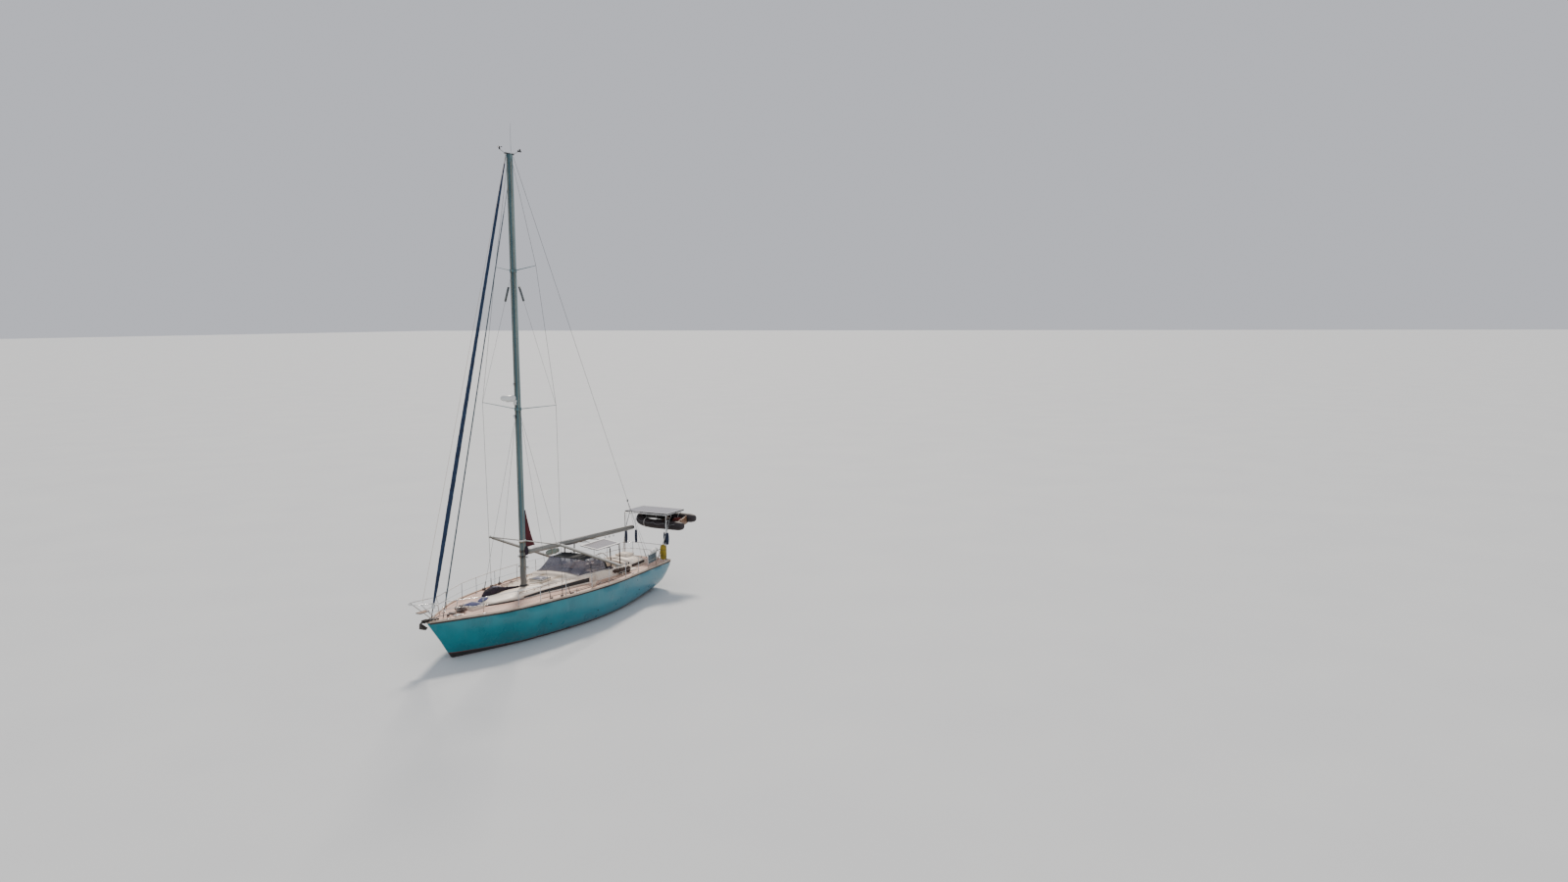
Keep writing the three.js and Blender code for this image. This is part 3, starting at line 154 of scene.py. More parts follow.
half_beam = through(BEAM)
bottom_z = through(BOTTOM, 1)
fullness = through(BOTTOM, 2)
roof_width = through(ROOF, 1)
roof_ridge = through(ROOF, 2)


def hull_y(x, z):
    """Half breadth of the hull at a height."""
    t = min(max((z - bottom_z(x)) / (sheer(x) - bottom_z(x)), 0), 1)
    return KEEL_HALF + (half_beam(x) - KEEL_HALF) * (1 - (1 - t) ** fullness(x))


def deck_top(x, y):
    width = max(half_beam(x) - RAIL_INSET, 0.006)
    return sheer(x) + DECK_RISE + CAMBER * width * (1 - (y / width) ** 2)


def rail_y(x):
    return max(half_beam(x) - RAIL_INSET - WIRE_INSET, 0.04)


def roof_z(x, y):
    """Height of the coachroof's top over its flat middle part."""
    crown = ROOF_FALL * roof_width(x)
    return roof_ridge(x) - crown * abs(y) / (roof_width(x) - 0.07)


def coaming_top(x):
    """Height of the cockpit coaming, which falls towards the stern."""
    return 1.83 + (x + 1.12) * 0.0685


def between(low, high, steps):
    """Evenly spaced values, both ends included."""
    return [low + (high - low) * i / (steps - 1) for i in range(steps)]


def turns(count):
    """The angles of so many points round a circle."""
    return [2 * math.pi * k / count for k in range(count)]


def full_turn(steps):
    """Angles once round a circle, the last one back at the first."""
    return between(0, 2 * math.pi, steps)


def swell(share, ends, power):
    """How full a bag is along its length: 1 in the middle, drawn in at the ends."""
    return math.sin(math.pi * min(max(share, ends), 1 - ends)) ** power


# Modelling helpers

# The sharpest fold that is still shaded smooth: on hard pieces, and on soft ones
SMOOTH_ANGLE = math.radians(38)
SOFT_ANGLE = math.radians(60)


def piece(name, bm, material, body="root", slot=None, angle=SMOOTH_ANGLE):
    """Makes an object of a finished bmesh, gives it its material, and lets it ride on a body."""
    mesh = bpy.data.meshes.new(name)
    bm.to_mesh(mesh)
    bm.free()
    mesh.materials.append(material)
    mesh.shade_smooth()
    mesh.set_sharp_from_angle(angle=angle)
    made = bpy.data.objects.new(name, mesh)
    bpy.context.scene.collection.objects.link(made)
    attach(made, body)
    return made


def aim(start, end):
    """A matrix that lays the Z axis from start to end, with its middle at their middle."""
    start, end = Vector(start), Vector(end)
    turn = (end - start).to_track_quat("Z", "Y").to_matrix().to_4x4()
    return Matrix.Translation((start + end) / 2) @ turn


def rod(bm, start, end, radius, sides=10, end_radius=None):
    """A round bar between two points, tapered where the radii differ."""
    length = (Vector(end) - Vector(start)).length
    return bmesh.ops.create_cone(
        bm, cap_ends=True, segments=sides, radius1=radius,
        radius2=radius if end_radius is None else end_radius,
        depth=length, matrix=aim(start, end),
    )["verts"]


def block(bm, low, high, round_off=0.0):
    """A box between two corners, its edges rounded."""
    low, high = Vector(low), Vector(high)
    middle, size = (low + high) / 2, high - low
    verts = bmesh.ops.create_cube(bm, size=1, matrix=Matrix.Diagonal((*size, 1)))["verts"]
    if round_off:
        edges = list({edge for vert in verts for edge in vert.link_edges})
        made = bmesh.ops.bevel(
            bm, geom=edges, offset=round_off, offset_type="OFFSET", affect="EDGES",
            segments=2, profile=0.5, material=-1,
        )
        verts = list({*made["verts"], *(vert for vert in verts if vert.is_valid)})
    bmesh.ops.translate(bm, vec=middle, verts=verts)
    return verts


def ball(bm, centre, radius, squash=(1, 1, 1), detail=10):
    place = Matrix.Translation(Vector(centre)) @ Matrix.Diagonal((*squash, 1))
    return bmesh.ops.create_uvsphere(
        bm, u_segments=detail, v_segments=max(detail * 2 // 3, 4), radius=radius, matrix=place,
    )["verts"]


def frames_along(path):
    """For each point of a path, a matrix that stands its X-Y plane across the path."""
    points = [Vector(point) for point in path]
    matrices, turn = [], None
    for i, point in enumerate(points):
        ahead = points[min(i + 1, len(points) - 1)] - points[max(i - 1, 0)]
        ahead.normalize()
        if turn is None:
            turn = ahead.to_track_quat("Z", "Y")
        else:
            turn = (turn @ Vector((0, 0, 1))).rotation_difference(ahead) @ turn
        matrices.append(Matrix.Translation(point) @ turn.to_matrix().to_4x4())
    return matrices


def sweep(bm, path, radius, sides=8, squash=1.0):
    """A tube along a path. The radius is a number or a function of the share of the path."""
    matrices = frames_along(path)
    size = radius if callable(radius) else lambda share: radius
    last = len(matrices) - 1

    def place(i):
        scale = size(i / last)
        return matrices[i] @ Matrix.Diagonal((scale, scale * squash, 1, 1))

    ring = bmesh.ops.create_circle(
        bm, cap_ends=False, segments=sides, radius=1, matrix=place(0),
    )["verts"]
    made = list(ring)
    edges = list({edge for vert in ring for edge in vert.link_edges})
    first_edges = edges
    for i in range(1, last + 1):
        grown = bmesh.ops.extrude_edge_only(bm, edges=edges)["geom"]
        ring = [item for item in grown if isinstance(item, bmesh.types.BMVert)]
        ring_set = set(ring)
        edges = [
            item for item in grown
            if isinstance(item, bmesh.types.BMEdge) and all(vert in ring_set for vert in item.verts)
        ]
        bmesh.ops.transform(bm, matrix=place(i) @ place(i - 1).inverted(), verts=ring)
        made += ring
    for loop in (first_edges, edges):
        bmesh.ops.edgeloop_fill(bm, edges=loop)
    faces = list({face for vert in made for face in vert.link_faces})
    bmesh.ops.recalc_face_normals(bm, faces=faces)
    return made


def ring_of(bm, points):
    """A closed loop of edges through the points."""
    verts = [bm.verts.new(point) for point in points]
    return [bm.edges.new((verts[i - 1], vert)) for i, vert in enumerate(verts)]


def loft(bm, rings):
    """A skin through closed rings of points, with its ends closed."""
    loops = [ring_of(bm, ring) for ring in rings]
    made = []
    for one, two in zip(loops, loops[1:]):
        made += bmesh.ops.bridge_loops(bm, edges=one + two)["faces"]
    for loop in (loops[0], loops[-1]):
        made += bmesh.ops.edgeloop_fill(bm, edges=loop)["faces"]
    bmesh.ops.recalc_face_normals(bm, faces=made)


def lofted(rings):
    """A new bmesh that holds one loft."""
    bm = bmesh.new()
    loft(bm, rings)
    return bm


def curve_through(points, steps=8):
    """Points on a smooth curve through the given ones."""
    points = [Vector(point) for point in points]
    made = []
    for i in range(len(points) - 1):
        before = points[max(i - 1, 0)]
        after = points[min(i + 2, len(points) - 1)]
        start, end = points[i], points[i + 1]
        for step in range(steps):
            t = step / steps
            made.append(
                start * (1 - t) ** 2 * (1 + 2 * t) + end * t * t * (3 - 2 * t)
                + (end - before) * 0.5 * t * (1 - t) ** 2 - (after - start) * 0.5 * t * t * (1 - t)
            )
    made.append(points[-1])
    return made


def mirrored(point, side):
    return (point[0], point[1] * side, point[2])


# Materials. Every pattern's size is given in millimetres and read in the boat's own metres.

def linear(colour):
    """The sRGB hex colour as linear RGBA."""
    channels = [int(colour[i:i + 2], 16) / 255 for i in (1, 3, 5)]
    return (*[c / 12.92 if c <= 0.04045 else ((c + 0.055) / 1.055) ** 2.4 for c in channels], 1)


def per_metre(millimetres):
    return 1000 / millimetres


def spread(colours, low=0.3, width=0.4):
    """Stops of a ramp that runs through the colours over the middle of its length."""
    return [(low + width * i / max(len(colours) - 1, 1), c) for i, c in enumerate(colours)]


def span(low, high, start, end):
    """Settings that map a range on to another."""
    return {"From Min": low, "From Max": high, "To Min": start, "To Max": end}


def blend(colour, socket=7):
    """Settings that mix a colour in."""
    return {"data_type": "RGBA", socket: linear(colour)}


def add(tree, kind, settings=None, links=None, stops=None):
    """Adds a node with its settings, the outputs linked to its sockets, and its ramp's stops."""
    node = tree.nodes.new(kind)
    for name, value in (settings or {}).items():
        if isinstance(name, str) and hasattr(node, name):
            setattr(node, name, value)
        else:
            node.inputs[name].default_value = value
    for name, output in (links or {}).items():
        tree.links.new(output, node.inputs[name])
    if stops:
        elements = node.color_ramp.elements
        for _ in stops[2:]:
            elements.new(1)
        for element, (place, colour) in zip(elements, stops):
            element.position, element.color = place, linear(colour)
    return node


def new_material(name, settings):
    """A material with one shader: the material, its tree, the shader and the place on the piece."""
    made = bpy.data.materials.new(name)
    made.use_nodes = True
    tree = made.node_tree
    tree.nodes.clear()
    shader = add(tree, "ShaderNodeBsdfPrincipled", settings)
    add(tree, "ShaderNodeOutputMaterial", links={"Surface": shader.outputs[0]})
    return made, tree, shader, add(tree, "ShaderNodeTexCoord").outputs["Object"]


def worn(name, colours, mottle, roughness, grain, depth, stretch=(1, 1, 1), settings=None):
    """A finish that varies between colours in patches, and in gloss and height with a finer grain.
    Mottle, grain and depth are millimetres. Stretch draws both out along an axis."""
    made, tree, shader, place = new_material(name, settings)
    along = add(
        tree, "ShaderNodeMapping", {"Scale": [1 / s for s in stretch]}, {"Vector": place},
    ).outputs[0]
    patches = add(
        tree, "ShaderNodeTexNoise", {"Scale": per_metre(mottle), "Detail": 5, "Roughness": 0.6},
        {"Vector": along},
    ).outputs[0]
    tone = add(tree, "ShaderNodeValToRGB", links={0: patches}, stops=spread(colours)).outputs[0]
    tree.links.new(tone, shader.inputs["Base Color"])
    fine = add(
        tree, "ShaderNodeTexNoise", {"Scale": per_metre(grain), "Detail": 3}, {"Vector": along},
    ).outputs[0]
    gloss = add(tree, "ShaderNodeMapRange", span(0.3, 0.7, *roughness), {0: patches}).outputs[0]
    tree.links.new(gloss, shader.inputs["Roughness"])
    relief = add(
        tree, "ShaderNodeBump", {"Strength": 0.6, "Distance": depth / 1000}, {"Height": fine},
    ).outputs[0]
    tree.links.new(relief, shader.inputs["Normal"])
    return made


# The wave texture's phase over one unit of its scale
WAVE_TURN = 6.283


def woven(name, colours, thread, fade):
    """Cloth: a weave of crossing threads, in patches that the sun has bleached."""
    made, tree, shader, place = new_material(name, {"Roughness": 0.85})
    patches = add(
        tree, "ShaderNodeTexNoise", {"Scale": per_metre(fade), "Detail": 6, "Roughness": 0.65},
        {"Vector": place},
    ).outputs[0]
    tone = add(tree, "ShaderNodeValToRGB", links={0: patches}, stops=spread(colours)).outputs[0]
    warp, weft = (
        add(
            tree, "ShaderNodeTexWave",
            {"Scale": per_metre(thread) / WAVE_TURN, "bands_direction": direction},
            {"Vector": place},
        ).outputs[1]
        for direction in ("Z", "DIAGONAL")
    )
    weave = add(tree, "ShaderNodeMath", {"operation": "MULTIPLY"}, {0: warp, 1: weft}).outputs[0]
    shade = add(
        tree, "ShaderNodeMix", {"data_type": "RGBA", "blend_type": "MULTIPLY", 0: 0.25},
        {6: tone, 7: weave},
    ).outputs[2]
    tree.links.new(shade, shader.inputs["Base Color"])
    relief = add(
        tree, "ShaderNodeBump", {"Strength": 0.5, "Distance": 0.002}, {"Height": weave},
    ).outputs[0]
    tree.links.new(relief, shader.inputs["Normal"])
    return made


# Top of the boot top amidships and at the stem, and the width of the line over it
BOOT_AFT, BOOT_FORE = 0.07, 0.25
BOOT_LINE = 0.024
# Where the antifouling's dark wet edge lies
WET_LINE = -0.01
# The box that holds the wells inside the hull: axis, low end, high end
WELLS = ((0, -3.99, 3.16), (1, -1.32, 1.32), (2, -0.17, 3))


def hull_paint():
    """Chalky two-pack paint on glass fibre, its teal matched to the hull in shade over teal water, so
    painted shade and the water's painted reflection are in it, and paler towards the stern as painted light;
    gloss that the sun has dulled in patches, runs under the deck edge, a dark boot top under a rust-red
    line, antifouling, and cream paint inside."""
    made, tree, shader, place = new_material(
        "weathered_topside_paint_painted_shade", {"IOR": 1.5, "Coat Weight": 0.2, "Coat Roughness": 0.12},
    )
    axes = add(tree, "ShaderNodeSeparateXYZ", links={0: place}).outputs
    patches = add(
        tree, "ShaderNodeTexNoise", {"Scale": per_metre(900), "Detail": 6}, {"Vector": place},
    ).outputs[0]
    runs = add(
        tree, "ShaderNodeTexNoise", {"Scale": per_metre(140), "Detail": 4},
        {"Vector": add(
            tree, "ShaderNodeMapping", {"Scale": (1, 1, 0.12)}, {"Vector": place},
        ).outputs[0]},
    ).outputs[0]
    # Teal in random faded patches, darkened and tinted as the hull shows in shade over the water: painted
    # shade and painted reflection
    faded = add(
        tree, "ShaderNodeValToRGB", links={0: patches},
        stops=spread(["#006E78", "#007A84", "#008590"]),
    ).outputs[0]
    # Paler towards the stern: painted light, as the stern quarter catches more sky
    aft = add(tree, "ShaderNodeMapRange", span(4, -6.9, 0, 0.6), {0: axes[0]}).outputs[0]
    streaks = add(tree, "ShaderNodeMapRange", span(0.56, 0.78, 0, 0.16), {0: runs}).outputs[0]
    boot_top = add(
        tree, "ShaderNodeMapRange", span(3.2, 6.6, BOOT_AFT, BOOT_FORE), {0: axes[0]},
    ).outputs[0]
    over = add(
        tree, "ShaderNodeMath", {"operation": "SUBTRACT"}, {0: axes[2], 1: boot_top},
    ).outputs[0]
    under_line, under_boot, wet = (
        add(tree, "ShaderNodeMath", {"operation": "LESS_THAN", 1: level}, {0: height}).outputs[0]
        for height, level in ((over, BOOT_LINE), (over, 0), (axes[2], WET_LINE))
    )
    outside = faded
    # The first tint, paler towards the stern, is painted light; the others are runs, the rust-red line, the
    # boot top and the antifouling
    for mask, tint in (
        (aft, "#3A7590"), (streaks, "#5E939F"), (under_line, "#7A3A34"), (under_boot, "#241D1B"),
        (wet, "#1F2A30"),
    ):
        outside = add(tree, "ShaderNodeMix", blend(tint), {0: mask, 6: outside}).outputs[2]
    # The wells' walls face the middle of the boat and the hull's own skin faces away from it
    facing = add(
        tree, "ShaderNodeSeparateXYZ",
        links={0: add(tree, "ShaderNodeNewGeometry").outputs["True Normal"]},
    ).outputs
    turned_out = add(
        tree, "ShaderNodeMath", {"operation": "MULTIPLY"}, {0: axes[1], 1: facing[1]},
    ).outputs[0]
    inner = add(
        tree, "ShaderNodeMath", {"operation": "LESS_THAN", 1: 0.02}, {0: turned_out},
    ).outputs[0]
    for axis, low, high in WELLS:
        inside = add(
            tree, "ShaderNodeMath",
            {"operation": "COMPARE", 1: (low + high) / 2, 2: (high - low) / 2}, {0: axes[axis]},
        ).outputs[0]
        inner = add(
            tree, "ShaderNodeMath", {"operation": "MULTIPLY"}, {0: inner, 1: inside},
        ).outputs[0]
    colour = add(tree, "ShaderNodeMix", blend("#CDBFAE"), {0: inner, 6: outside}).outputs[2]
    tree.links.new(colour, shader.inputs["Base Color"])
    gloss = add(tree, "ShaderNodeMapRange", span(0.3, 0.7, 0.22, 0.42), {0: patches}).outputs[0]
    tree.links.new(gloss, shader.inputs["Roughness"])
    orange_peel = add(
        tree, "ShaderNodeTexNoise", {"Scale": per_metre(60), "Detail": 2}, {"Vector": place},
    ).outputs[0]
    relief = add(
        tree, "ShaderNodeBump", {"Strength": 0.15, "Distance": 0.002}, {"Height": orange_peel},
    ).outputs[0]
    tree.links.new(relief, shader.inputs["Normal"])
    return made


# How much longer than wide the teak's grain is drawn
GRAIN_STRETCH = 0.08


def planked(name, tones, seam, plank, seam_width):
    """Planks laid fore and aft with caulked seams: each has its own tone, and grain along it."""
    made, tree, shader, place = new_material(name, {"Roughness": 0.7})
    axes = add(tree, "ShaderNodeSeparateXYZ", links={0: place}).outputs
    count = add(
        tree, "ShaderNodeMath", {"operation": "MULTIPLY_ADD", 1: per_metre(plank), 2: 100.5},
        {0: axes[1]},
    ).outputs[0]
    share = add(tree, "ShaderNodeMath", {"operation": "FRACT"}, {0: count}).outputs[0]
    which = add(tree, "ShaderNodeMath", {"operation": "FLOOR"}, {0: count}).outputs[0]
    caulk = add(
        tree, "ShaderNodeMath", {"operation": "LESS_THAN", 1: seam_width / plank}, {0: share},
    ).outputs[0]
    own = add(tree, "ShaderNodeTexWhiteNoise", {"noise_dimensions": "1D"}, {"W": which}).outputs[0]
    grain = add(
        tree, "ShaderNodeTexNoise", {"Scale": per_metre(22), "Detail": 5},
        {"Vector": add(
            tree, "ShaderNodeMapping", {"Scale": (GRAIN_STRETCH, 1, 1)}, {"Vector": place},
        ).outputs[0]},
    ).outputs[0]
    weather = add(
        tree, "ShaderNodeTexNoise", {"Scale": per_metre(700), "Detail": 5}, {"Vector": place},
    ).outputs[0]
    mixed = add(tree, "ShaderNodeMath", {"operation": "MULTIPLY", 1: 0.35}, {0: weather}).outputs[0]
    for tone, weight in ((grain, 0.35), (own, 0.3)):
        mixed = add(
            tree, "ShaderNodeMath", {"operation": "MULTIPLY_ADD", 1: weight}, {0: tone, 2: mixed},
        ).outputs[0]
    wood = add(
        tree, "ShaderNodeValToRGB", links={0: mixed}, stops=spread(tones, 0.25, 0.5),
    ).outputs[0]
    laid = add(tree, "ShaderNodeMix", blend(seam), {0: caulk, 6: wood}).outputs[2]
    tree.links.new(laid, shader.inputs["Base Color"])
    height = add(tree, "ShaderNodeMath", {"operation": "SUBTRACT"}, {0: grain, 1: caulk}).outputs[0]
    relief = add(
        tree, "ShaderNodeBump", {"Strength": 0.5, "Distance": 0.002}, {"Height": height},
    ).outputs[0]
    tree.links.new(relief, shader.inputs["Normal"])
    return made


# Millimetres: the cells' pitch, the bars' pitch and the width of a line
CELL, CELL_BARS, CELL_LINE = 160, 54, 4


def solar_cells():
    """Crystalline cells under glass: squares that mirror the pale sky, with thin silver bars."""
    made, tree, shader, place = new_material(
        "solar_cells_under_glass", {"Roughness": 0.25, "Coat Weight": 0.9, "Coat Roughness": 0.08},
    )
    axes = add(tree, "ShaderNodeSeparateXYZ", links={0: place}).outputs
    lines = None
    for axis, size in ((0, CELL), (1, CELL), (1, CELL_BARS)):
        count = add(
            tree, "ShaderNodeMath", {"operation": "MULTIPLY_ADD", 1: per_metre(size), 2: 60},
            {0: axes[axis]},
        ).outputs[0]
        share = add(tree, "ShaderNodeMath", {"operation": "FRACT"}, {0: count}).outputs[0]
        line = add(
            tree, "ShaderNodeMath", {"operation": "LESS_THAN", 1: CELL_LINE / size}, {0: share},
        ).outputs[0]
        lines = line if lines is None else add(
            tree, "ShaderNodeMath", {"operation": "MAXIMUM"}, {0: lines, 1: line},
        ).outputs[0]
    dust = add(
        tree, "ShaderNodeTexNoise", {"Scale": per_metre(350), "Detail": 5}, {"Vector": place},
    ).outputs[0]
    cell = add(
        tree, "ShaderNodeValToRGB", links={0: dust}, stops=spread(["#57525C", "#6E666D"]),
    ).outputs[0]
    colour = add(tree, "ShaderNodeMix", blend("#938C92"), {0: lines, 6: cell}).outputs[2]
    tree.links.new(colour, shader.inputs["Base Color"])
    return made


def colour_of(made):
    """A finish's tree, its shader's colour socket and the output that feeds it."""
    tree = made.node_tree
    base = next(n for n in tree.nodes if n.type == "BSDF_PRINCIPLED").inputs["Base Color"]
    return tree, base, base.links[0].from_socket


def spar_alloy():
    """Anodised alloy, its dark grey-green painted shade with the sea's teal reflection painted in, chalky
    streaks down it, and browner towards its foot.
    """
    # The grey-green ramp is painted shade and painted sea reflection on the alloy
    made = worn(
        "anodised_spar_alloy", ["#3E5B62", "#507076", "#6A8788"], 130, (0.35, 0.5), 6, 0.15,
        (1, 1, 14), {"Metallic": 0.4},
    )
    tree, base, clean = colour_of(made)
    place = add(tree, "ShaderNodeTexCoord").outputs["Object"]
    height = add(tree, "ShaderNodeSeparateXYZ", links={0: place}).outputs[2]
    share = add(tree, "ShaderNodeMapRange", span(2.0, 4.2, 0.8, 0), {0: height}).outputs[0]
    brown_foot = add(tree, "ShaderNodeMix", blend("#75685D"), {0: share, 6: clean}).outputs[2]
    tree.links.new(brown_foot, base)
    return made


def pole_alloy():
    """Pale alloy with painted shade: dark grey-brown down the sides and underneath, the pale colour only on
    the faces turned up to the light.
    """
    made = worn("pale_pole_alloy_painted_shade", ["#C9C8C2", "#DAD8D1", "#E7E3DB"], 110, (0.4, 0.55), 8, 0.1)
    tree, base, pale_alloy = colour_of(made)
    # Painted shade: faces turned away from the sky take the dark grey-brown
    facing = add(tree, "ShaderNodeTexCoord").outputs["Normal"]
    upward = add(tree, "ShaderNodeSeparateXYZ", links={0: facing}).outputs[2]
    share = add(tree, "ShaderNodeMapRange", span(-0.15, 0.35, 0, 1), {0: upward}).outputs[0]
    both = add(tree, "ShaderNodeMix", blend("#6F6C63", 6), {0: share, 7: pale_alloy}).outputs[2]
    tree.links.new(both, base)
    return made


FINISH = {
    "hull_gelcoat": hull_paint(),
    # Cast iron under antifouling: dark, rough and pitted
    "keel_iron": worn("antifouled_cast_iron", ["#1B2226", "#263238"], 180, (0.6, 0.85), 14, 1.5),
    # Bare teak laid deck: bleached pinkish grey planks, black rubber in the seams
    "teak_deck": planked(
        "bleached_teak_deck", ["#BF9B87", "#DBB7A5", "#EACABA"], "#5A4A43", 60, 5,
    ),
    # Bare teak rail: silver brown, darker where it is wet or worn
    "teak_rail": worn(
        "bare_teak_rail", ["#9C8675", "#C2AD9B", "#D6C5B6"], 160, (0.55, 0.8), 9, 0.8, (8, 1, 1),
    ),
    # Painted glass fibre of the cabin sides and roof: cream, chalked, a fine non-slip sand in it
    "cream_gelcoat": worn(
        "chalked_cream_gelcoat", ["#DFCDB9", "#EBDCC9", "#F2E7D9"], 420, (0.4, 0.6), 12, 0.5,
        settings={"IOR": 1.5},
    ),
    # Tinted acrylic: smoky, smooth, with a sharp shine
    "smoked_acrylic": worn(
        "smoked_acrylic", ["#262A30", "#343A44"], 260, (0.06, 0.14), 40, 0.1,
        settings={"IOR": 1.49, "Coat Weight": 0.6},
    ),
    # Oiled teak joinery: warm red brown with a soft shine
    "varnished_teak": worn(
        "oiled_teak_joinery", ["#5E4434", "#7B5A43", "#8E6B50"], 90, (0.35, 0.55), 7, 0.6, (1, 6, 1),
    ),
    # Anodised mast: dark grey-green, painted shade and the sea's reflection, browner at its foot
    "mast_alloy": spar_alloy(),
    # Polished stainless tube: bright, with faint rust bloom
    "stainless": worn(
        "polished_stainless_tube", ["#A9ABAA", "#C9CBCA", "#D9DAD8"], 70, (0.14, 0.3), 5, 0.1,
        settings={"Metallic": 1.0},
    ),
    # Stainless wire laid in strands: dull grey
    "wire_rope": worn(
        "stainless_wire_rope", ["#4A4F50", "#646A6A"], 40, (0.35, 0.5), 6, 0.6, (1, 1, 3),
        {"Metallic": 0.6},
    ),
    # Moulded white plastic and gelcoat: smooth, slightly yellowed
    "white_moulding": worn(
        "white_moulding", ["#CFD2CF", "#DEDFDB"], 200, (0.28, 0.4), 10, 0.1, settings={"IOR": 1.48},
    ),
    # Solar cells under glass: grey squares with the pale sky they mirror painted in, dust in patches, and
    # silver bars
    "solar_cells": solar_cells(),
    # Acrylic canvas of the hood: near-black, a little faded in patches
    "hood_canvas": woven("acrylic_hood_canvas", ["#14171A", "#1B1F22", "#24282B"], 12, 300),
    # Grey acrylic canvas: pale, bleached in patches
    "grey_canvas": woven("grey_acrylic_canvas", ["#7E8688", "#939A9A", "#A4A9A8"], 12, 300),
    # Navy strip of the rolled sail: deep blue, paler in patches
    "navy_canvas": woven("navy_acrylic_canvas", ["#10203A", "#173050", "#234360"], 12, 260),
    # Maroon strip of the mainsail: deep wine red
    "maroon_canvas": woven("maroon_acrylic_canvas", ["#3C0712", "#500C1A", "#621523"], 12, 260),
    # Coated nylon of the sail bag: black with a maroon cast
    "bag_cloth": woven("coated_bag_nylon", ["#17131A", "#261A2A", "#3A2638"], 8, 200),
    # Yellow vinyl cover: ochre, grimy in its folds
    "yellow_cloth": woven("yellow_vinyl_cover", ["#6E5E12", "#9A841C", "#B59C30"], 8, 200),
    # Coated tender fabric: dark rubbery grey-brown, matt
    "tender_rubber": worn(
        "coated_tender_fabric", ["#191315", "#241B1E", "#33272B"], 240, (0.5, 0.7), 6, 0.2,
    ),
    # Black rubber and moulded nylon: matt, greyed at the edges
    "black_trim": worn("black_nylon_and_rubber", ["#17181A", "#27282A"], 60, (0.5, 0.7), 4, 0.2),
    # Hot-dip galvanised steel: mottled grey spangle
    "galvanised": worn(
        "galvanised_steel", ["#6B6F72", "#8A8E90", "#9EA19F"], 25, (0.4, 0.6), 8, 0.5,
        settings={"Metallic": 0.7},
    ),
    # Cast manganese bronze: dull gold brown
    "bronze": worn(
        "cast_bronze", ["#5F4A2A", "#7C6238", "#8C744A"], 60, (0.35, 0.55), 6, 0.4,
        settings={"Metallic": 0.9},
    ),
    # Antifouling on the rudder: flat blue black, brushed on thick
    "rudder_paint": worn("antifouling_paint", ["#1D282E", "#28353B"], 200, (0.55, 0.8), 18, 0.8),
    # Engine enamel: mid green with an oily shine
    "engine_paint": worn("engine_enamel", ["#3E6A5A", "#4B7767"], 120, (0.3, 0.5), 10, 0.4),
}

# Poles pale on top with painted shade down their sides, and a bare boom, streaked grey along its length
POLE_ALLOY = pole_alloy()
BOOM_ALLOY = worn(
    "bare_boom_alloy", ["#686967", "#7F7F7B", "#93918B"], 150, (0.35, 0.5), 6, 0.15, (12, 1, 1),
    {"Metallic": 0.5},
)
# Clear vinyl of the hood's panes: smoky lilac, half see-through, gently rippled
CLEAR_VINYL = worn(
    "clear_window_vinyl", ["#464658", "#575667"], 300, (0.12, 0.25), 60, 0.4,
    settings={"Alpha": 0.58, "IOR": 1.5, "Coat Weight": 0.5},
)
# Laid rope: a cream core with brown dirt in its strands
ROPE = worn("laid_polyester_rope", ["#7F6A55", "#A08B72", "#BCA98F"], 30, (0.7, 0.9), 9, 2)
# White vinyl over wires, ties and frames: clean and half glossy
WHITE_ROPE = worn("white_vinyl_wire_cover", ["#DCDCD6", "#ECECE8"], 90, (0.35, 0.5), 9, 0.3)
# Glass of lamps and compass: nearly white, with a sharp shine
LENS_GLASS = worn(
    "clear_lamp_lens", ["#DDE3E6", "#EEF1F2"], 60, (0.05, 0.12), 8, 0.1,
    settings={"IOR": 1.49, "Coat Weight": 0.5},
)
# Tape over the hood's seams: faded lilac grey
SEAM_TAPE = woven("faded_seam_tape", ["#8B8791", "#9B97A0"], 8, 200)
# Slate grey canvas of the weather cloth and the inner stay's sail
SLATE_CLOTH = woven("slate_acrylic_canvas", ["#4C585E", "#5C696F", "#6D7A80"], 12, 300)
# Moulded fuel tank: brown red with a soft shine
RED_TANK = worn("red_brown_fuel_tank", ["#5A2420", "#7A322A"], 60, (0.35, 0.5), 5, 0.2)
# Rubbing strake and dark tubes: brown, near black, drawn out along their length
DARK_STRAKE = worn(
    "dark_brown_rubbing_strake", ["#231E1B", "#322B27", "#453C36"], 120, (0.5, 0.7), 8, 0.6, (8, 1, 1),
)
# Galvanised iron darkened to a near-black brown as painted shade, on the anchor and the fittings at the stem
DARK_IRON_IN_SHADE = worn(
    "dark_galvanised_iron_painted_shade", ["#1E1B1A", "#2F2926", "#463B34"], 40, (0.5, 0.75), 7, 1,
    settings={"Metallic": 0.4},
)
# Painted bronze of the windlass: brown grey, mottled dark and pale in small patches
WINDLASS_PAINT = worn(
    "mottled_windlass_paint", ["#3E342F", "#6B5F5A", "#9A8C86"], 45, (0.4, 0.65), 7, 0.8,
    settings={"Metallic": 0.3},
)
# Dark glass behind acrylic, brown black with dried salt, darkened to the shade along the cabin's foot:
# painted shade
DARK_WINDOW = worn(
    "salted_cabin_window", ["#110D0F", "#1A1517", "#2B2527"], 260, (0.25, 0.4), 30, 0.1,
    settings={"Coat Weight": 0.1},
)
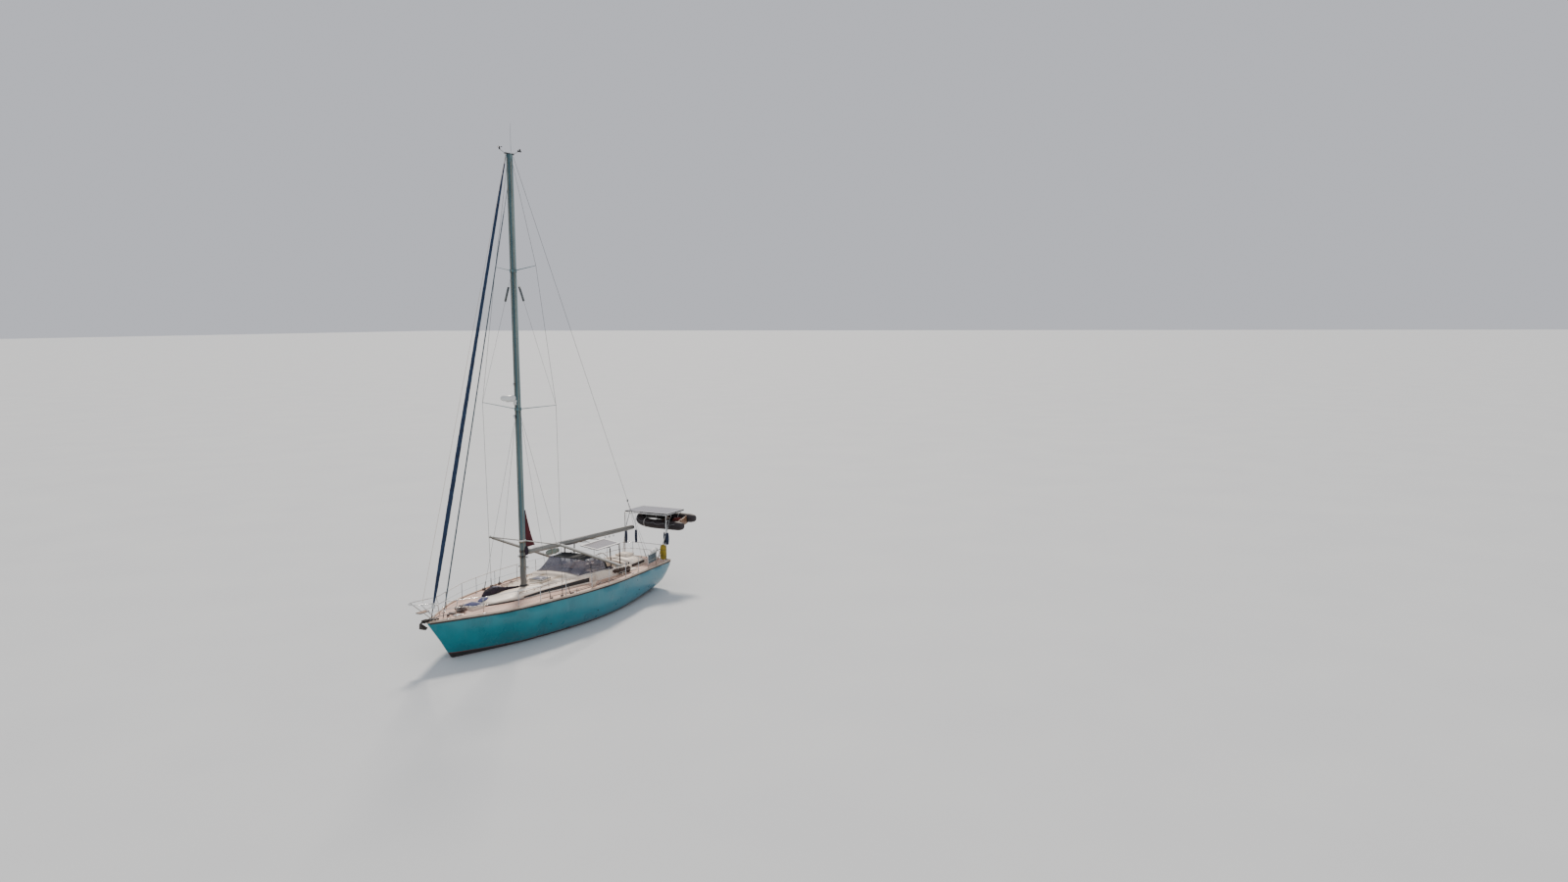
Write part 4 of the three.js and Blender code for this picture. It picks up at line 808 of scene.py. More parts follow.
# Acrylic hatch lid in a woven blue: the sky's reflection on the acrylic, painted in
BLUE_LID = woven("blue_hatch_lid_painted_reflection", ["#2B3160", "#3D4374", "#59608C"], 12, 240)
# Brown cloth of the bags of rope: coarse, its light and dark patches small
ROPE_BAG = woven("brown_rope_bag", ["#2A201C", "#4B3C34", "#75665B"], 9, 60)
# Acrylic of the middle hatch, crazed to a frosted grey
FROSTED_LID = worn("frosted_hatch_lid", ["#6C6C7A", "#7E7E8B"], 160, (0.3, 0.45), 40, 0.1)
# Folded awning: grey green, softly mottled
AWNING = woven("folded_awning_cloth", ["#6F7A70", "#838E84", "#969F96"], 10, 200)
# Leather sewn round the wheel's rim: pale, dry and fine grained
LEATHER = worn("pale_wheel_leather", ["#A59C90", "#B9B1A5"], 50, (0.5, 0.7), 6, 0.4)
# Nylon of the bundles on the arch: dark navy
NAVY_BAG = woven("navy_bag_nylon", ["#0F1A30", "#172642", "#22344F"], 10, 180)

# Dressing of the construction model's nodes

SLOT_OF = {part["node"]: part["material_slot"] for part in frame["record"]["subparts"]}

# Nodes that a detailed piece further down stands for
REMADE = (
    "spray_hood", "dinghy", "furled_genoa", "inner_stay", "foredeck_bag", "weather_cloth",
    "mainsail_clew", "rescue_buoy",
)
OWN_FINISH = {
    "pole_port": POLE_ALLOY, "pole_starboard": POLE_ALLOY, "pole_crossbar": POLE_ALLOY,
    "boom": BOOM_ALLOY, "anchor": DARK_IRON_IN_SHADE, "stemhead": DARK_IRON_IN_SHADE, "windlass": WINDLASS_PAINT,
    "cabin_window_port": DARK_WINDOW, "cabin_window_starboard": DARK_WINDOW, "fore_hatch": BLUE_LID,
    "saloon_hatch": FROSTED_LID, "bimini_frame": DARK_STRAKE,
}


def dress(node):
    """A skin in the node's own shape, its corners merged and its round faces shaded smooth."""
    bm = bmesh.new()
    bm.from_mesh(NODES[node].data)
    bmesh.ops.remove_doubles(bm, verts=bm.verts, dist=1e-5)
    slot = SLOT_OF[node]
    finish = OWN_FINISH.get(node, FINISH[slot])
    skin = piece(f"{node}_skin", bm, finish, NODES[node]["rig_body"], slot)
    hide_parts(node)


for node in NODES:
    if node not in REMADE:
        dress(node)

# Soft goods

def grid_surface(across, along, point):
    """A sheet of quads: point(u, v) places it, with u across and v along, both from 0 to 1."""
    bm = bmesh.new()
    bmesh.ops.create_grid(bm, x_segments=across, y_segments=along, size=0.5)
    for vert in bm.verts:
        vert.co = point(vert.co.x + 0.5, vert.co.y + 0.5)
    bmesh.ops.recalc_face_normals(bm, faces=bm.faces)
    return bm


def area_of(bm):
    return sum(face.calc_area() for face in bm.faces)


def thicken(made, thickness):
    """Gives a sheet its thickness, half to each side."""
    wall = made.modifiers.new("thickness", "SOLIDIFY")
    wall.thickness = thickness
    wall.offset = 0


def at_share(rows, share, column=1):
    """The value of a table at a share of its first column's span, straight between rows."""
    x = rows[0][0] + share * (rows[-1][0] - rows[0][0])
    for low, high in zip(rows, rows[1:]):
        if (x - low[0]) * (x - high[0]) <= 0:
            return low[column] + (high[column] - low[column]) * (x - low[0]) / (high[0] - low[0])
    return rows[-1][column]


# Spray hood, as the construction model has it: x of its top, how far its foot lies aft of that,
# half width, heights of its foot and its top, roundness of its section
HOOD = [
    (-0.28, 0, 1.075, 1.84, 1.935, 0), (-0.7, 0, 1.09, 1.838, 2.175, 0.8),
    (-1.1, 0, 1.15, 1.833, 2.37, 1), (-1.78, 0.34, 1.215, 1.765, 2.38, 1),
]
# Round the section from its foot: share of the half width, share of the height where it lies flat
# and where it stands round
ARCH_LINE = [
    (1, 0, 0), (0.985, 0.28, 0.5), (0.965, 0.31, 0.7), (0.93, 0.35, 0.84), (0.87, 0.42, 0.91),
    (0.78, 0.53, 0.955), (0.6, 0.77, 0.985), (0.4, 1, 1), (0, 1, 1),
]
BOW_AT = 0.547


def arch_table():
    """The section's line with the share of its own length in front."""
    lengths = [0.0]
    for one, two in zip(ARCH_LINE, ARCH_LINE[1:]):
        lengths.append(lengths[-1] + math.hypot((two[0] - one[0]) * 1.15, (two[2] - one[2]) * 0.5))
    return [(length / lengths[-1], *line) for length, line in zip(lengths, ARCH_LINE)]


ARCH_TABLE = arch_table()


def hood_point(u, v, inset=0.0):
    """u runs from the starboard foot over the top to the port foot, v from the fore edge aft."""
    side = 1 if u > 0.5 else -1
    share = 1 - abs(2 * u - 1)
    out, flat, stood = (at_share(ARCH_TABLE, share, column) for column in (1, 2, 3))
    lean, width, foot, top, roundness = (at_share(HOOD, v, column) for column in range(1, 6))
    up = flat + (stood - flat) * roundness
    x = HOOD[0][0] + v * (HOOD[-1][0] - HOOD[0][0]) - lean * (1 - up)
    # The cloth dips between its bows and stands proud on them
    span = v / BOW_AT if v < BOW_AT else (v - BOW_AT) / (1 - BOW_AT)
    dip = 0.012 * math.sin(math.pi * span) * min(share * 4, 1)
    return Vector((x, side * (width - inset - dip * 0.6) * out, foot + (top - foot - inset - dip) * up))


# Clear panes: low and high u, low and high v
HOOD_PANES = (
    (-0.01, 1.01, -0.01, 0.50), (-0.01, 0.235, 0.50, 0.955), (0.765, 1.01, 0.50, 0.955),
)


def in_pane(u, v):
    return any(a < u < b and c < v < d for a, b, c, d in HOOD_PANES)


def make_hood():
    across, along = 88, 44

    def is_pane(face, table):
        uvs = [table[vert.index] for vert in face.verts]
        return in_pane(sum(u for u, _ in uvs) / 4, sum(v for _, v in uvs) / 4)

    made = []
    for name, panes, material in (
        ("spray_hood_canvas", False, FINISH["hood_canvas"]), ("spray_hood_panes", True, CLEAR_VINYL),
    ):
        table = []

        def point(u, v):
            table.append((u, v))
            return hood_point(u, v)

        bm = grid_surface(across, along, point)
        bm.faces.ensure_lookup_table()
        bmesh.ops.delete(
            bm, geom=[face for face in bm.faces if is_pane(face, table) != panes], context="FACES",
        )
        area = area_of(bm)
        sheet = piece(name, bm, material, "root", "hood_canvas", SOFT_ANGLE)
        thicken(sheet, 0.0035 if not panes else 0.0015)
        made.append((sheet, area))
    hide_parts("spray_hood")
    bm = bmesh.new()
    for v in (BOW_AT, 1.0):
        path = [hood_point(u, v, 0.016) for u in between(0.0, 1.0, 41)]
        sweep(bm, path, 0.0125, 8)
    for u in (0.04, 0.96):
        sweep(bm, [hood_point(u, v, 0.02) for v in between(0.5, 1.0, 5)], 0.0095, 8)
    piece("spray_hood_bows", bm, FINISH["stainless"], "root", "stainless")
    # Bound edges over the opening and the panes' heads
    bm = bmesh.new()
    sweep(bm, [hood_point(u, 1.0) for u in between(0, 1, 61)], 0.008, 6)
    for u in (0.235, 0.765):
        sweep(bm, [hood_point(u, v, -0.001) for v in between(0.5, 0.955, 15)], 0.0045, 5, 2.6)
    sweep(bm, [hood_point(u, 0.505, -0.001) for u in between(0.01, 0.99, 61)], 0.004, 5, 2.6)
    piece("spray_hood_binding", bm, FINISH["hood_canvas"], "root", "hood_canvas")
    # A pale bolt rope along the foot and thin pale seams between the panes
    bm = bmesh.new()
    sweep(bm, [hood_point(u, 0.0) + Vector((0, 0, 0.008)) for u in between(0, 1, 41)], 0.008, 6)
    for u in (0.0, 1.0):
        sweep(bm, [hood_point(u, v) + Vector((0, 0, 0.008)) for v in between(0, 1, 9)], 0.007, 6)
    for u in (0.27, 0.44, 0.56, 0.73):
        sweep(bm, [hood_point(u, v, -0.001) for v in between(0.01, 0.5, 15)], 0.003, 5, 2.2)
    for u in (0.03, 0.97):
        sweep(bm, [hood_point(u, v, -0.001) for v in between(0.52, 0.95, 9)], 0.003, 5, 2.2)
    piece("spray_hood_seams", bm, SEAM_TAPE, "root", "hood_canvas")
    return made


# Tender: tubes athwartships, bow to starboard, as the construction model has them
TENDER = {"near": -7.12, "far": -8.18, "stern": 1.78, "bow": -1.0, "z": 2.77, "rise": 0.15}
# Radius of its tubes at their ends and how much they grow, and radius of the slings round them
TUBE_END, TUBE_GROWTH, SLING_RADIUS = 0.05, 0.155, 0.214
# It hangs with its outer tube higher than the near one
TENDER_TURN = Matrix.Rotation(math.radians(11), 3, "Y")


def hang(bm):
    hinge = (TENDER["near"], 0, TENDER["z"])
    bmesh.ops.rotate(bm, cent=hinge, matrix=TENDER_TURN, verts=bm.verts)


def tender_rise(y):
    return TENDER["z"] + TENDER["rise"] * max(0, (0.3 - y) / 1.3) ** 1.6


def make_tender():
    near, far = TENDER["near"], TENDER["far"]
    middle = (near + far) / 2
    half = [
        (near, TENDER["stern"] + 0.01), (near, 1.72), (near, 1.4), (near, 0.9), (near, 0.4),
        (near, 0.0), (near - 0.03, -0.4), (near - 0.16, -0.66), (near - 0.36, -0.78),
    ]
    plan = half + [(middle, TENDER["bow"] + 0.21)] + [
        (2 * middle - x, y) for x, y in reversed(half)
    ]
    path = curve_through([(x, y, tender_rise(y)) for x, y in plan], 5)
    total = len(path) - 1

    def radius(share):
        from_end = min(share, 1 - share) * total / 5
        return TUBE_END + TUBE_GROWTH * min(from_end / 1.7, 1) ** 0.7

    bm = bmesh.new()
    sweep(bm, path, radius, 20)
    hang(bm)
    tubes = piece("tender_tubes", bm, FINISH["tender_rubber"], "root", "tender_rubber")
    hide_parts("dinghy")
    bm = bmesh.new()
    z = TENDER["z"]
    block(bm, (far + 0.1, -0.35, z - 0.19), (near - 0.1, 1.42, z - 0.16), 0.008)
    hang(bm)
    piece("tender_floor", bm, FINISH["tender_rubber"], "root", "tender_rubber")
    bm = bmesh.new()
    block(bm, (far + 0.16, 1.395, z - 0.2), (near - 0.16, 1.43, z + 0.17), 0.012)
    block(bm, (middle - 0.2, 1.43, z - 0.12), (middle + 0.2, 1.45, z + 0.15), 0.006)
    block(bm, (far + 0.19, 0.32, z + 0.02), (near - 0.19, 0.56, z + 0.045), 0.01)
    hang(bm)
    piece("tender_transom_and_thwart", bm, FINISH["varnished_teak"], "root", "varnished_teak")
    # Rubbing strake, seams where the chambers meet, and grab lines through their patches
    bm = bmesh.new()
    frames = frames_along(path)
    outward = []
    for point in path:
        away = Vector((point[0] - middle, (point[1] + 0.3) * (0.5 if point[1] < -0.3 else 0), 0))
        outward.append(away.normalized())
    sweep(
        bm, [Vector(path[i]) + outward[i] * (radius(i / total) + 0.002) for i in range(6, total - 5)],
        0.016, 6,
    )
    for i in (12, 24, 34, total - 34, total - 24, total - 12):
        ring = [
            frames[i] @ Vector((
                math.cos(a) * (radius(i / total) + 0.001), math.sin(a) * (radius(i / total) + 0.001), 0,
            )) for a in turns(24)
        ]
        sweep(bm, [*ring, ring[0]], 0.006, 5)
    hang(bm)
    piece("tender_strakes", bm, FINISH["black_trim"], "root", "black_trim")
    bm = bmesh.new()
    spots = list(range(10, total - 9, 6))
    for one, two in zip(spots, spots[1:]):
        start = Vector(path[one]) + outward[one] * radius(one / total) * 0.8
        end = Vector(path[two]) + outward[two] * radius(two / total) * 0.8
        start.z += 0.13
        end.z += 0.13
        sag = (start + end) / 2 + Vector((0, 0, -0.05)) + outward[(one + two) // 2] * 0.06
        sweep(bm, curve_through([start, sag, end], 4), 0.005, 5)
        ball(bm, start, 0.02, (1, 1, 0.7), 8)
    hang(bm)
    piece("tender_grab_lines", bm, FINISH["grey_canvas"], "root", "grey_canvas")
    # Fuel tank and a folded pump bag on the floor at the stern
    bm = bmesh.new()
    block(bm, (far + 0.24, 0.82, z - 0.14), (far + 0.5, 1.2, z + 0.1), 0.04)
    block(bm, (far + 0.62, 1.0, z - 0.15), (far + 0.8, 1.3, z + 0.02), 0.03)
    hang(bm)
    piece("tender_tank", bm, RED_TANK, "root", "maroon_canvas")


# Rolled headsail: distance up the stay and radius, as the construction model has them
FORESTAY = (Vector((6.72, 0, 1.76)), Vector((2.01, 0, 18.3)))
FURL = [
    (0.455, 0.03), (0.62, 0.04), (1, 0.056), (1.8, 0.066), (3.5, 0.077), (6, 0.077), (8.5, 0.068),
    (11, 0.058), (15, 0.05), (16, 0.038), (16.5, 0.026),
]


def make_genoa():
    foot, head = FORESTAY
    up = (head - foot).normalized()
    length = (head - foot).length
    bm = bmesh.new()
    sweep(bm, [foot + up * d for d in (0.4405, 0.45, 0.47)], 0.026, 12)
    sweep(bm, [foot + up * d for d in (16.45, length - 0.24)], 0.024, 12)
    side = Vector((0, 1, 0))
    fore = up.cross(side)
    steps = 234
    low, high = FURL[0][0], FURL[-1][0]
    # The roll is a little fuller where each turn of cloth laps the one under it
    rings = []
    for i in range(steps + 1):
        d = low + (high - low) * i / steps
        radius = at_share(FURL, (d - low) / (high - low))
        ring = []
        for a in turns(20):
            lap = (a / (2 * math.pi) + d * 1.6) % 1
            grown = radius * (1 + 0.07 * lap)
            ring.append(foot + up * d + side * math.cos(a) * grown + fore * math.sin(a) * grown)
        rings.append(ring)
    loft(bm, rings)
    roll = piece("furled_genoa_roll", bm, FINISH["navy_canvas"], "genoa", "navy_canvas", math.radians(50))
    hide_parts("furled_genoa")
    return roll


def make_inner_stay():
    foot, head = Vector((6.16, 0, 1.6)), Vector((1.96, 0, 17.17))
    up = (head - foot).normalized()
    length = (head - foot).length
    bm = bmesh.new()
    sweep(bm, [foot + up * d for d in (-0.02, 0.3, 0.6)], 0.016, 8)
    rings = []
    for i in range(61):
        d = 0.59 + (length - 0.9 - 0.59) * i / 60
        radius = 0.027 - 0.007 * i / 60
        radius *= 1 + 0.05 * math.sin(i * 2.1) if 0 < i < 60 else 0.7
        rings.append([
            foot + up * d + Vector((0, math.cos(a), 0)) * radius
            + up.cross(Vector((0, 1, 0))) * math.sin(a) * radius
            for a in turns(14)
        ])
    loft(bm, rings)
    sweep(bm, [foot + up * (length - 0.92), Vector((1.86, 0, 17.53))], 0.01, 8)
    made = piece("inner_stay_roll", bm, SLATE_CLOTH, "root", "grey_canvas")
    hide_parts("inner_stay")


def fitting(name, slot, rods=(), blocks=(), balls=(), tubes=(), sides=(1,), body="root", finish=None):
    """One piece of small parts, repeated on the given sides of the boat. A rod is its two ends, its
    radius and its end radius; a block its two corners and the rounding of its edges; a ball its
    centre, radius and squash; a tube its path and radius."""
    bm = bmesh.new()
    for side in sides:
        for start, end, radius, *rest in rods:
            rod(bm, mirrored(start, side), mirrored(end, side), radius, 12, *rest)
        for low, high, *rest in blocks:
            y0, y1 = sorted((low[1] * side, high[1] * side))
            block(bm, (low[0], y0, low[2]), (high[0], y1, high[2]), *(rest or (0.003,)))
        for centre, radius, *rest in balls:
            ball(bm, mirrored(centre, side), radius, *rest)
        for path, radius in tubes:
            sweep(bm, [mirrored(point, side) for point in path], radius, 8)
    return piece(name, bm, finish or FINISH[slot], body, slot)


BOTH = (1, -1)


def along_hull(x0, x1, steps, inset, rise):
    """A path along the port edge of the hull, inside its half beam and above its sheer."""
    return [(x, half_beam(x) - inset, sheer(x) + rise) for x in between(x0, x1, steps)]


def on_deck(x, y, rise=0.0):
    return (x, y, deck_top(x, y) + rise)


def on_deck_at(x, y, ahead, out, rise):
    """A point beside a spot on the deck, its height measured from the spot's own."""
    return (x + ahead, y + out, deck_top(x, y) + rise)


def make_hull_trim():
    # Rubbing strake under the rail
    fitting("rubbing_strake", "black_trim", tubes=[(along_hull(-6.82, 6.86, 90, -0.004, -0.034), 0.026)],
            sides=BOTH, finish=DARK_STRAKE)
    # Drains through the topsides, and the engine's exhaust
    drains = [(-3.6, 0.62, 0.028), (-3.45, 0.45, 0.02), (-0.4, 0.5, 0.02), (2.2, 0.55, 0.02)]
    fitting("hull_outlets", "black_trim", rods=[
        ((x, hull_y(x, z) - 0.03, z), (x, hull_y(x, z) + 0.008, z), r) for x, z, r in drains
    ], sides=BOTH)
    # A dark strip that carries the cabin window's line forward: painted shadow at the coachroof's foot, with
    # the dark joint there
    strip = [
        (x, roof_width(x) + 0.004, sheer(x) + 0.062 + 0.012 * (x - 2.7), 0.042 - 0.012 * (x - 2.72))
        for x in between(2.72, 4.28, 17)
    ]
    bm = bmesh.new()
    for side in BOTH:
        loft(bm, [[
            (x, (y + d) * side, z + h)
            for d, h in ((-0.02, -half), (0.006, -half), (0.006, half), (-0.02, half))
        ] for x, y, z, half in strip])
    piece("cabin_foot_shadow_strip", bm, DARK_WINDOW, "root", "smoked_acrylic")
    # One dark strip along each side of the aft cabin
    trunk = [
        (-5.3, 0.848, 1.41, 1.5), (-5.15, 0.862, 1.395, 1.515), (-4.6, 0.92, 1.39, 1.52),
        (-4.2, 0.947, 1.39, 1.52),
    ]
    bm = bmesh.new()
    for side in BOTH:
        loft(bm, [[
            (x, (y + d) * side, z)
            for d, z in ((-0.02, low), (0.006, low), (0.006, high), (-0.02, high))
        ] for x, y, low, high in trunk])
    piece("aft_cabin_dark_strip", bm, DARK_WINDOW, "root", "smoked_acrylic")


def horn_cleat(x, y, z):
    """Rods of a horn cleat that lies fore and aft: its two feet and its two horns."""
    feet = [
        ((x + d, y, z - 0.004), (x + d, y, z + 0.045), 0.014, 0.01) for d in (-0.035, 0.035)
    ]
    return feet + [((x, y, z + 0.05), (x + d, y, z + 0.062), 0.015, 0.008) for d in (-0.13, 0.13)]


def make_deck_gear():
    cleats = [
        rod_ for x, y in ((5.72, 0.42), (1.0, half_beam(1.0) - 0.13), (-3.2, half_beam(-3.2) - 0.13),
                          (-6.42, 1.02))
        for rod_ in horn_cleat(*on_deck(x, y))
    ]
    fitting("mooring_cleats", "stainless", rods=cleats, sides=BOTH)
    # Sheet tracks on the side decks with their cars and blocks
    fitting("sheet_tracks", "black_trim", tubes=[
        ([on_deck(x, half_beam(x) - 0.32, 0.008) for x in between(-3.4, 1.3, 24)], 0.014),
    ], sides=BOTH)
    cars = [(x, half_beam(x) - 0.32) for x in (-2.6, -0.9, 0.6)]
    fitting("sheet_cars", "stainless", blocks=[
        (on_deck_at(x, y, -0.07, -0.022, 0.012), on_deck_at(x, y, 0.07, 0.022, 0.045), 0.006)
        for x, y in cars
    ], rods=[
        (on_deck(x, y - 0.014, 0.075), on_deck(x, y + 0.014, 0.075), 0.036) for x, y in cars
    ], sides=BOTH)
    # Feet of the stanchions, and the fairleads let into the rail
    fitting("stanchion_feet", "stainless", rods=[
        (on_deck(x, rail_y(x), 0.004), on_deck(x, rail_y(x), 0.1), 0.021, 0.019) for x in STANCHIONS
    ], blocks=[
        (on_deck_at(x, rail_y(x), -0.045, -0.04, 0.001),
         on_deck_at(x, rail_y(x), 0.045, 0.04, 0.012), 0.003) for x in STANCHIONS
    ], sides=BOTH)
    fairleads = [(x, half_beam(x), sheer(x)) for x in (6.28, 5.1, 0.9, -6.35)]
    fitting("fairleads", "stainless", blocks=[
        ((x - 0.09, y - 0.03, z + 0.064), (x + 0.09, y + 0.012, z + 0.074), 0.004)
        for x, y, z in fairleads
    ], rods=[
        ((x + d, y - 0.01, z + 0.07), (x + d * 1.2, y - 0.01, z + 0.105), 0.014, 0.01)
        for x, y, z in fairleads for d in (-0.06, 0.06)
    ], sides=BOTH)


PULPIT_AFT = 5.07
PUSHPIT_FORE = -4.7


def make_lifelines():
    """The guard wires' ends at the rails, their screws, and the white cover on the sunny side."""
    rods, screws = [], []
    ends = ((STANCHIONS[0], PULPIT_AFT, 2.175, 1.88), (STANCHIONS[-1], PUSHPIT_FORE, 1.89, 1.6))
    for low, x_from, x_to, z in (
        item for x_from, x_to, top, middle in ends
        for item in ((0, x_from, x_to, top), (0.33, x_from, x_to, middle))
    ):
        start = Vector((x_from, rail_y(x_from), sheer(x_from) + 0.65 - low))
        end = Vector((x_to, rail_y(x_to), z))
        rods.append((start, end, 0.004))
        step = (end - start).normalized()
        screws.append((end - step * 0.2, end - step * 0.03, 0.009))
    fitting("guard_wire_ends", "wire_rope", rods=rods, sides=BOTH)
    fitting("guard_wire_screws", "stainless", rods=screws, sides=BOTH)
    cover = [(x, rail_y(x), sheer(x) + 0.65) for x in STANCHIONS[:4]]
    cover = [(5.0, rail_y(5.0), 2.17), *cover]
    fitting("guard_wire_cover_starboard", "white_moulding", rods=[
        (a, b, 0.018) for a, b in zip(cover, cover[1:])
    ], sides=(-1,), finish=WHITE_ROPE)
    fitting("guard_wire_cover_port", "white_moulding", rods=[
        (a, b, 0.014) for a, b in zip(cover[:3], cover[1:3])
    ], finish=WHITE_ROPE)
    # A tan board lashed to one stanchion
    x = -0.2
    y = rail_y(x)
    fitting("stanchion_board", "varnished_teak", blocks=[
        ((x - 0.13, y - 0.035, deck_top(x, y) + 0.03), (x + 0.13, y - 0.015, sheer(x) + 0.5), 0.004),
    ], finish=FINISH["teak_rail"])


WINDLASS_X = 5.28


def make_foredeck():
    # The windlass: chain wheel, rope drum, gearbox and brake lever
    wheels = [(y, 0.02, 0.082) for y in (-0.13, -0.075, 0.055, 0.11)]
    wheels += [(y, 0.03, 0.07) for y in (-0.245, 0.215)]
    fitting("windlass_drums", "galvanised", rods=[
        ((WINDLASS_X, y, 1.69), (WINDLASS_X, y + wide, 1.69), radius) for y, wide, radius in wheels
    ] + [
        ((WINDLASS_X, 0, 1.805), (WINDLASS_X, 0, 1.835), 0.066),
        ((WINDLASS_X, 0.05, 1.74), (WINDLASS_X - 0.11, 0.05, 1.9), 0.009),
    ], blocks=[((WINDLASS_X - 0.13, -0.1, 1.715), (WINDLASS_X + 0.13, 0.1, 1.75), 0.012)],
        finish=WINDLASS_PAINT)
    # Painted sides of the fore hatch's coaming
    low = deck_top(4.4, 0.3) - 0.02
    fitting("fore_hatch_coaming", "cream_gelcoat", blocks=[
        ((x0, y0, low), (x1, y1, 1.688), 0.002) for x0, x1, y0, y1 in (
            (4.345, 4.975, -0.315, -0.308), (4.345, 4.975, 0.308, 0.315),
            (4.345, 4.352, -0.31, 0.31), (4.968, 4.975, -0.31, 0.31),
        )
    ])
    # Brown chocks between the windlass and the bow, and a pale locker lid beside them
    fitting("foredeck_chocks", "varnished_teak", blocks=[
        ((5.62, -0.16, deck_top(5.7, 0.1) - 0.004), (5.74, 0.1, deck_top(5.7, 0.1) + 0.07), 0.012),
        ((5.9, 0.0, deck_top(5.95, 0.1) - 0.004), (6.0, 0.06, deck_top(5.95, 0.1) + 0.1), 0.012),
    ], finish=WINDLASS_PAINT)
    fitting("chain_locker_lid", "cream_gelcoat", blocks=[
        ((5.6, 0.16, deck_top(5.7, 0.2) - 0.004), (5.86, 0.36, deck_top(5.7, 0.2) + 0.035), 0.012),
    ], finish=FINISH["white_moulding"])
    # Chain along the deck, from the windlass over the bow fitting to the shank
    bm = bmesh.new()
    links = 42
    start = WINDLASS_X + 0.1
    for i in range(links):
        x = start + (6.84 - start) * i / (links - 1)
        z = 1.708 if x > 6.44 else 1.708 - 0.03 * math.sin(math.pi * (x - start) / (6.44 - start))
        z = max(z, deck_top(x, 0) + 0.02)
        turn = (0, 1) if i % 2 else (1, 0)
        oval = [(
            x + 0.025 * math.cos(a), 0.014 * math.sin(a) * turn[0] + 0.09,
            z + 0.014 * math.sin(a) * turn[1],
        ) for a in full_turn(9)]
        sweep(bm, oval, 0.0055, 5)
    piece("anchor_chain_on_deck", bm, FINISH["galvanised"], "root", "galvanised")
    # Teak slats on the pulpit's seat
    fitting("pulpit_seat_slats", "teak_rail", blocks=[
        ((6.915, y, 2.0205), (7.365, y + 0.06, 2.036), 0.004) for y in (-0.1, -0.03, 0.04)
    ], finish=FINISH["varnished_teak"])
    # A rolled blue cover between the hatch and the coachroof, in the lid's blue with its painted sky
    # reflection
    start, end = Vector((4.3, -0.04, 1.7)), Vector((3.64, -0.22, 1.77))
    rings = []
    for share in between(0, 1, 21):
        centre = start.lerp(end, share)
        full = swell(share, 0.02, 0.35)
        floor_z = roof_z(min(centre.x, 4.3), centre.y) + 0.002
        ruck = 1 + 0.1 * math.sin(share * 40)
        rings.append([Vector((
            centre.x, centre.y + math.cos(a) * 0.15 * full,
            floor_z + max(0.045 * full * (0.7 + math.sin(a) * ruck), 0),
        )) for a in turns(18)])
    roll = piece("navy_roll", lofted(rings), BLUE_LID, "root", "navy_canvas", math.radians(70))


def make_side_decks():
    # Chafe pads at the shrouds' feet, and a webbing line along the side deck
    feet = [(1.66, 0.084), (1.12, 0.09), (2.2, 0.09)]
    fitting("shroud_chafe_pads", "varnished_teak", blocks=[
        (on_deck_at(x, half_beam(x) - inset, -0.07, -0.05, 0.001),
         on_deck_at(x, half_beam(x) - inset, 0.07, 0.01, 0.1), 0.012)
        for x, inset in feet
    ], sides=BOTH, finish=WINDLASS_PAINT)
    fitting("side_deck_webbing", "bag_cloth", tubes=[
        ([on_deck(x, half_beam(x) - 0.46, 0.006) for x in between(-3.9, 2.3, 26)], 0.012),
    ], sides=BOTH, finish=ROPE)


def make_coaming_gear():
    """Bags for the tails of the sheets, and the blocks at the coamings' after ends."""
    for side, place in ((1, "port"), (-1, "starboard")):
        rings = []
        for share in between(0, 1, 21):
            x = -1.92 - 0.5 * share
            full = swell(share, 0.03, 0.35)
            ruck = 1 + 0.12 * math.sin(x * 30)
            rings.append([Vector((
                x, side * (1.23 + 0.075 * full * math.cos(a)),
                coaming_top(x) + 0.002 + max(0.07 * full * (0.8 + math.sin(a) * ruck), 0),
            )) for a in turns(18)])
        bag = piece(
            f"rope_bag_{place}", lofted(rings), FINISH["bag_cloth"], "root", "bag_cloth", SOFT_ANGLE,
        )
        # Brown bags of rope hung on the coaming's outer side, and the pale tapes that hold them
        tapes = []
        for i, (x0, long, deep) in enumerate((
            (-2.3, 0.36, 0.17), (-2.62, 0.34, 0.25), (-2.92, 0.3, 0.2), (-3.18, 0.34, 0.26),
        )):
            rings = []
            for share in between(0, 1, 15):
                x = x0 - long * share
                full = swell(share, 0.04, 0.3)
                ruck = 1 + 0.14 * math.sin(x * 41) + 0.1 * math.sin(x * 83 + i)
                rings.append([Vector((
                    x, side * (1.302 + max(0.055 * full * ruck * (0.9 + math.cos(a)), 0)),
                    coaming_top(x) - 0.02 - deep / 2 + deep / 2 * full * ruck * math.sin(a),
                )) for a in turns(16)])
            bag = piece(
                f"coaming_bag_{place}_{i + 1}", lofted(rings), ROPE_BAG, "root", "bag_cloth",
                SOFT_ANGLE,
            )
            z = coaming_top(x0)
            for x in (x0 - long * 0.25, x0 - long * 0.75):
                tapes.append(((x - 0.012, 1.296, z - 0.03), (x + 0.012, 1.306, z + 0.004)))
        fitting(f"coaming_bag_tapes_{place}", "white_moulding", blocks=tapes, sides=(side,),
                finish=WHITE_ROPE)
    z = coaming_top(-3.4)
    sheaves = ((-3.42, 1.19, 0.045), (-3.62, 1.17, 0.04))
    fitting("coaming_blocks", "black_trim", rods=[
        ((x, y, z + 0.05), (x, y + 0.03, z + 0.05), radius) for x, y, radius in sheaves
    ], blocks=[
        ((x - 0.04, y - 0.005, z - 0.01), (x + 0.04, y + 0.035, z + 0.02), 0.004)
        for x, y, _ in sheaves
    ], sides=BOTH)


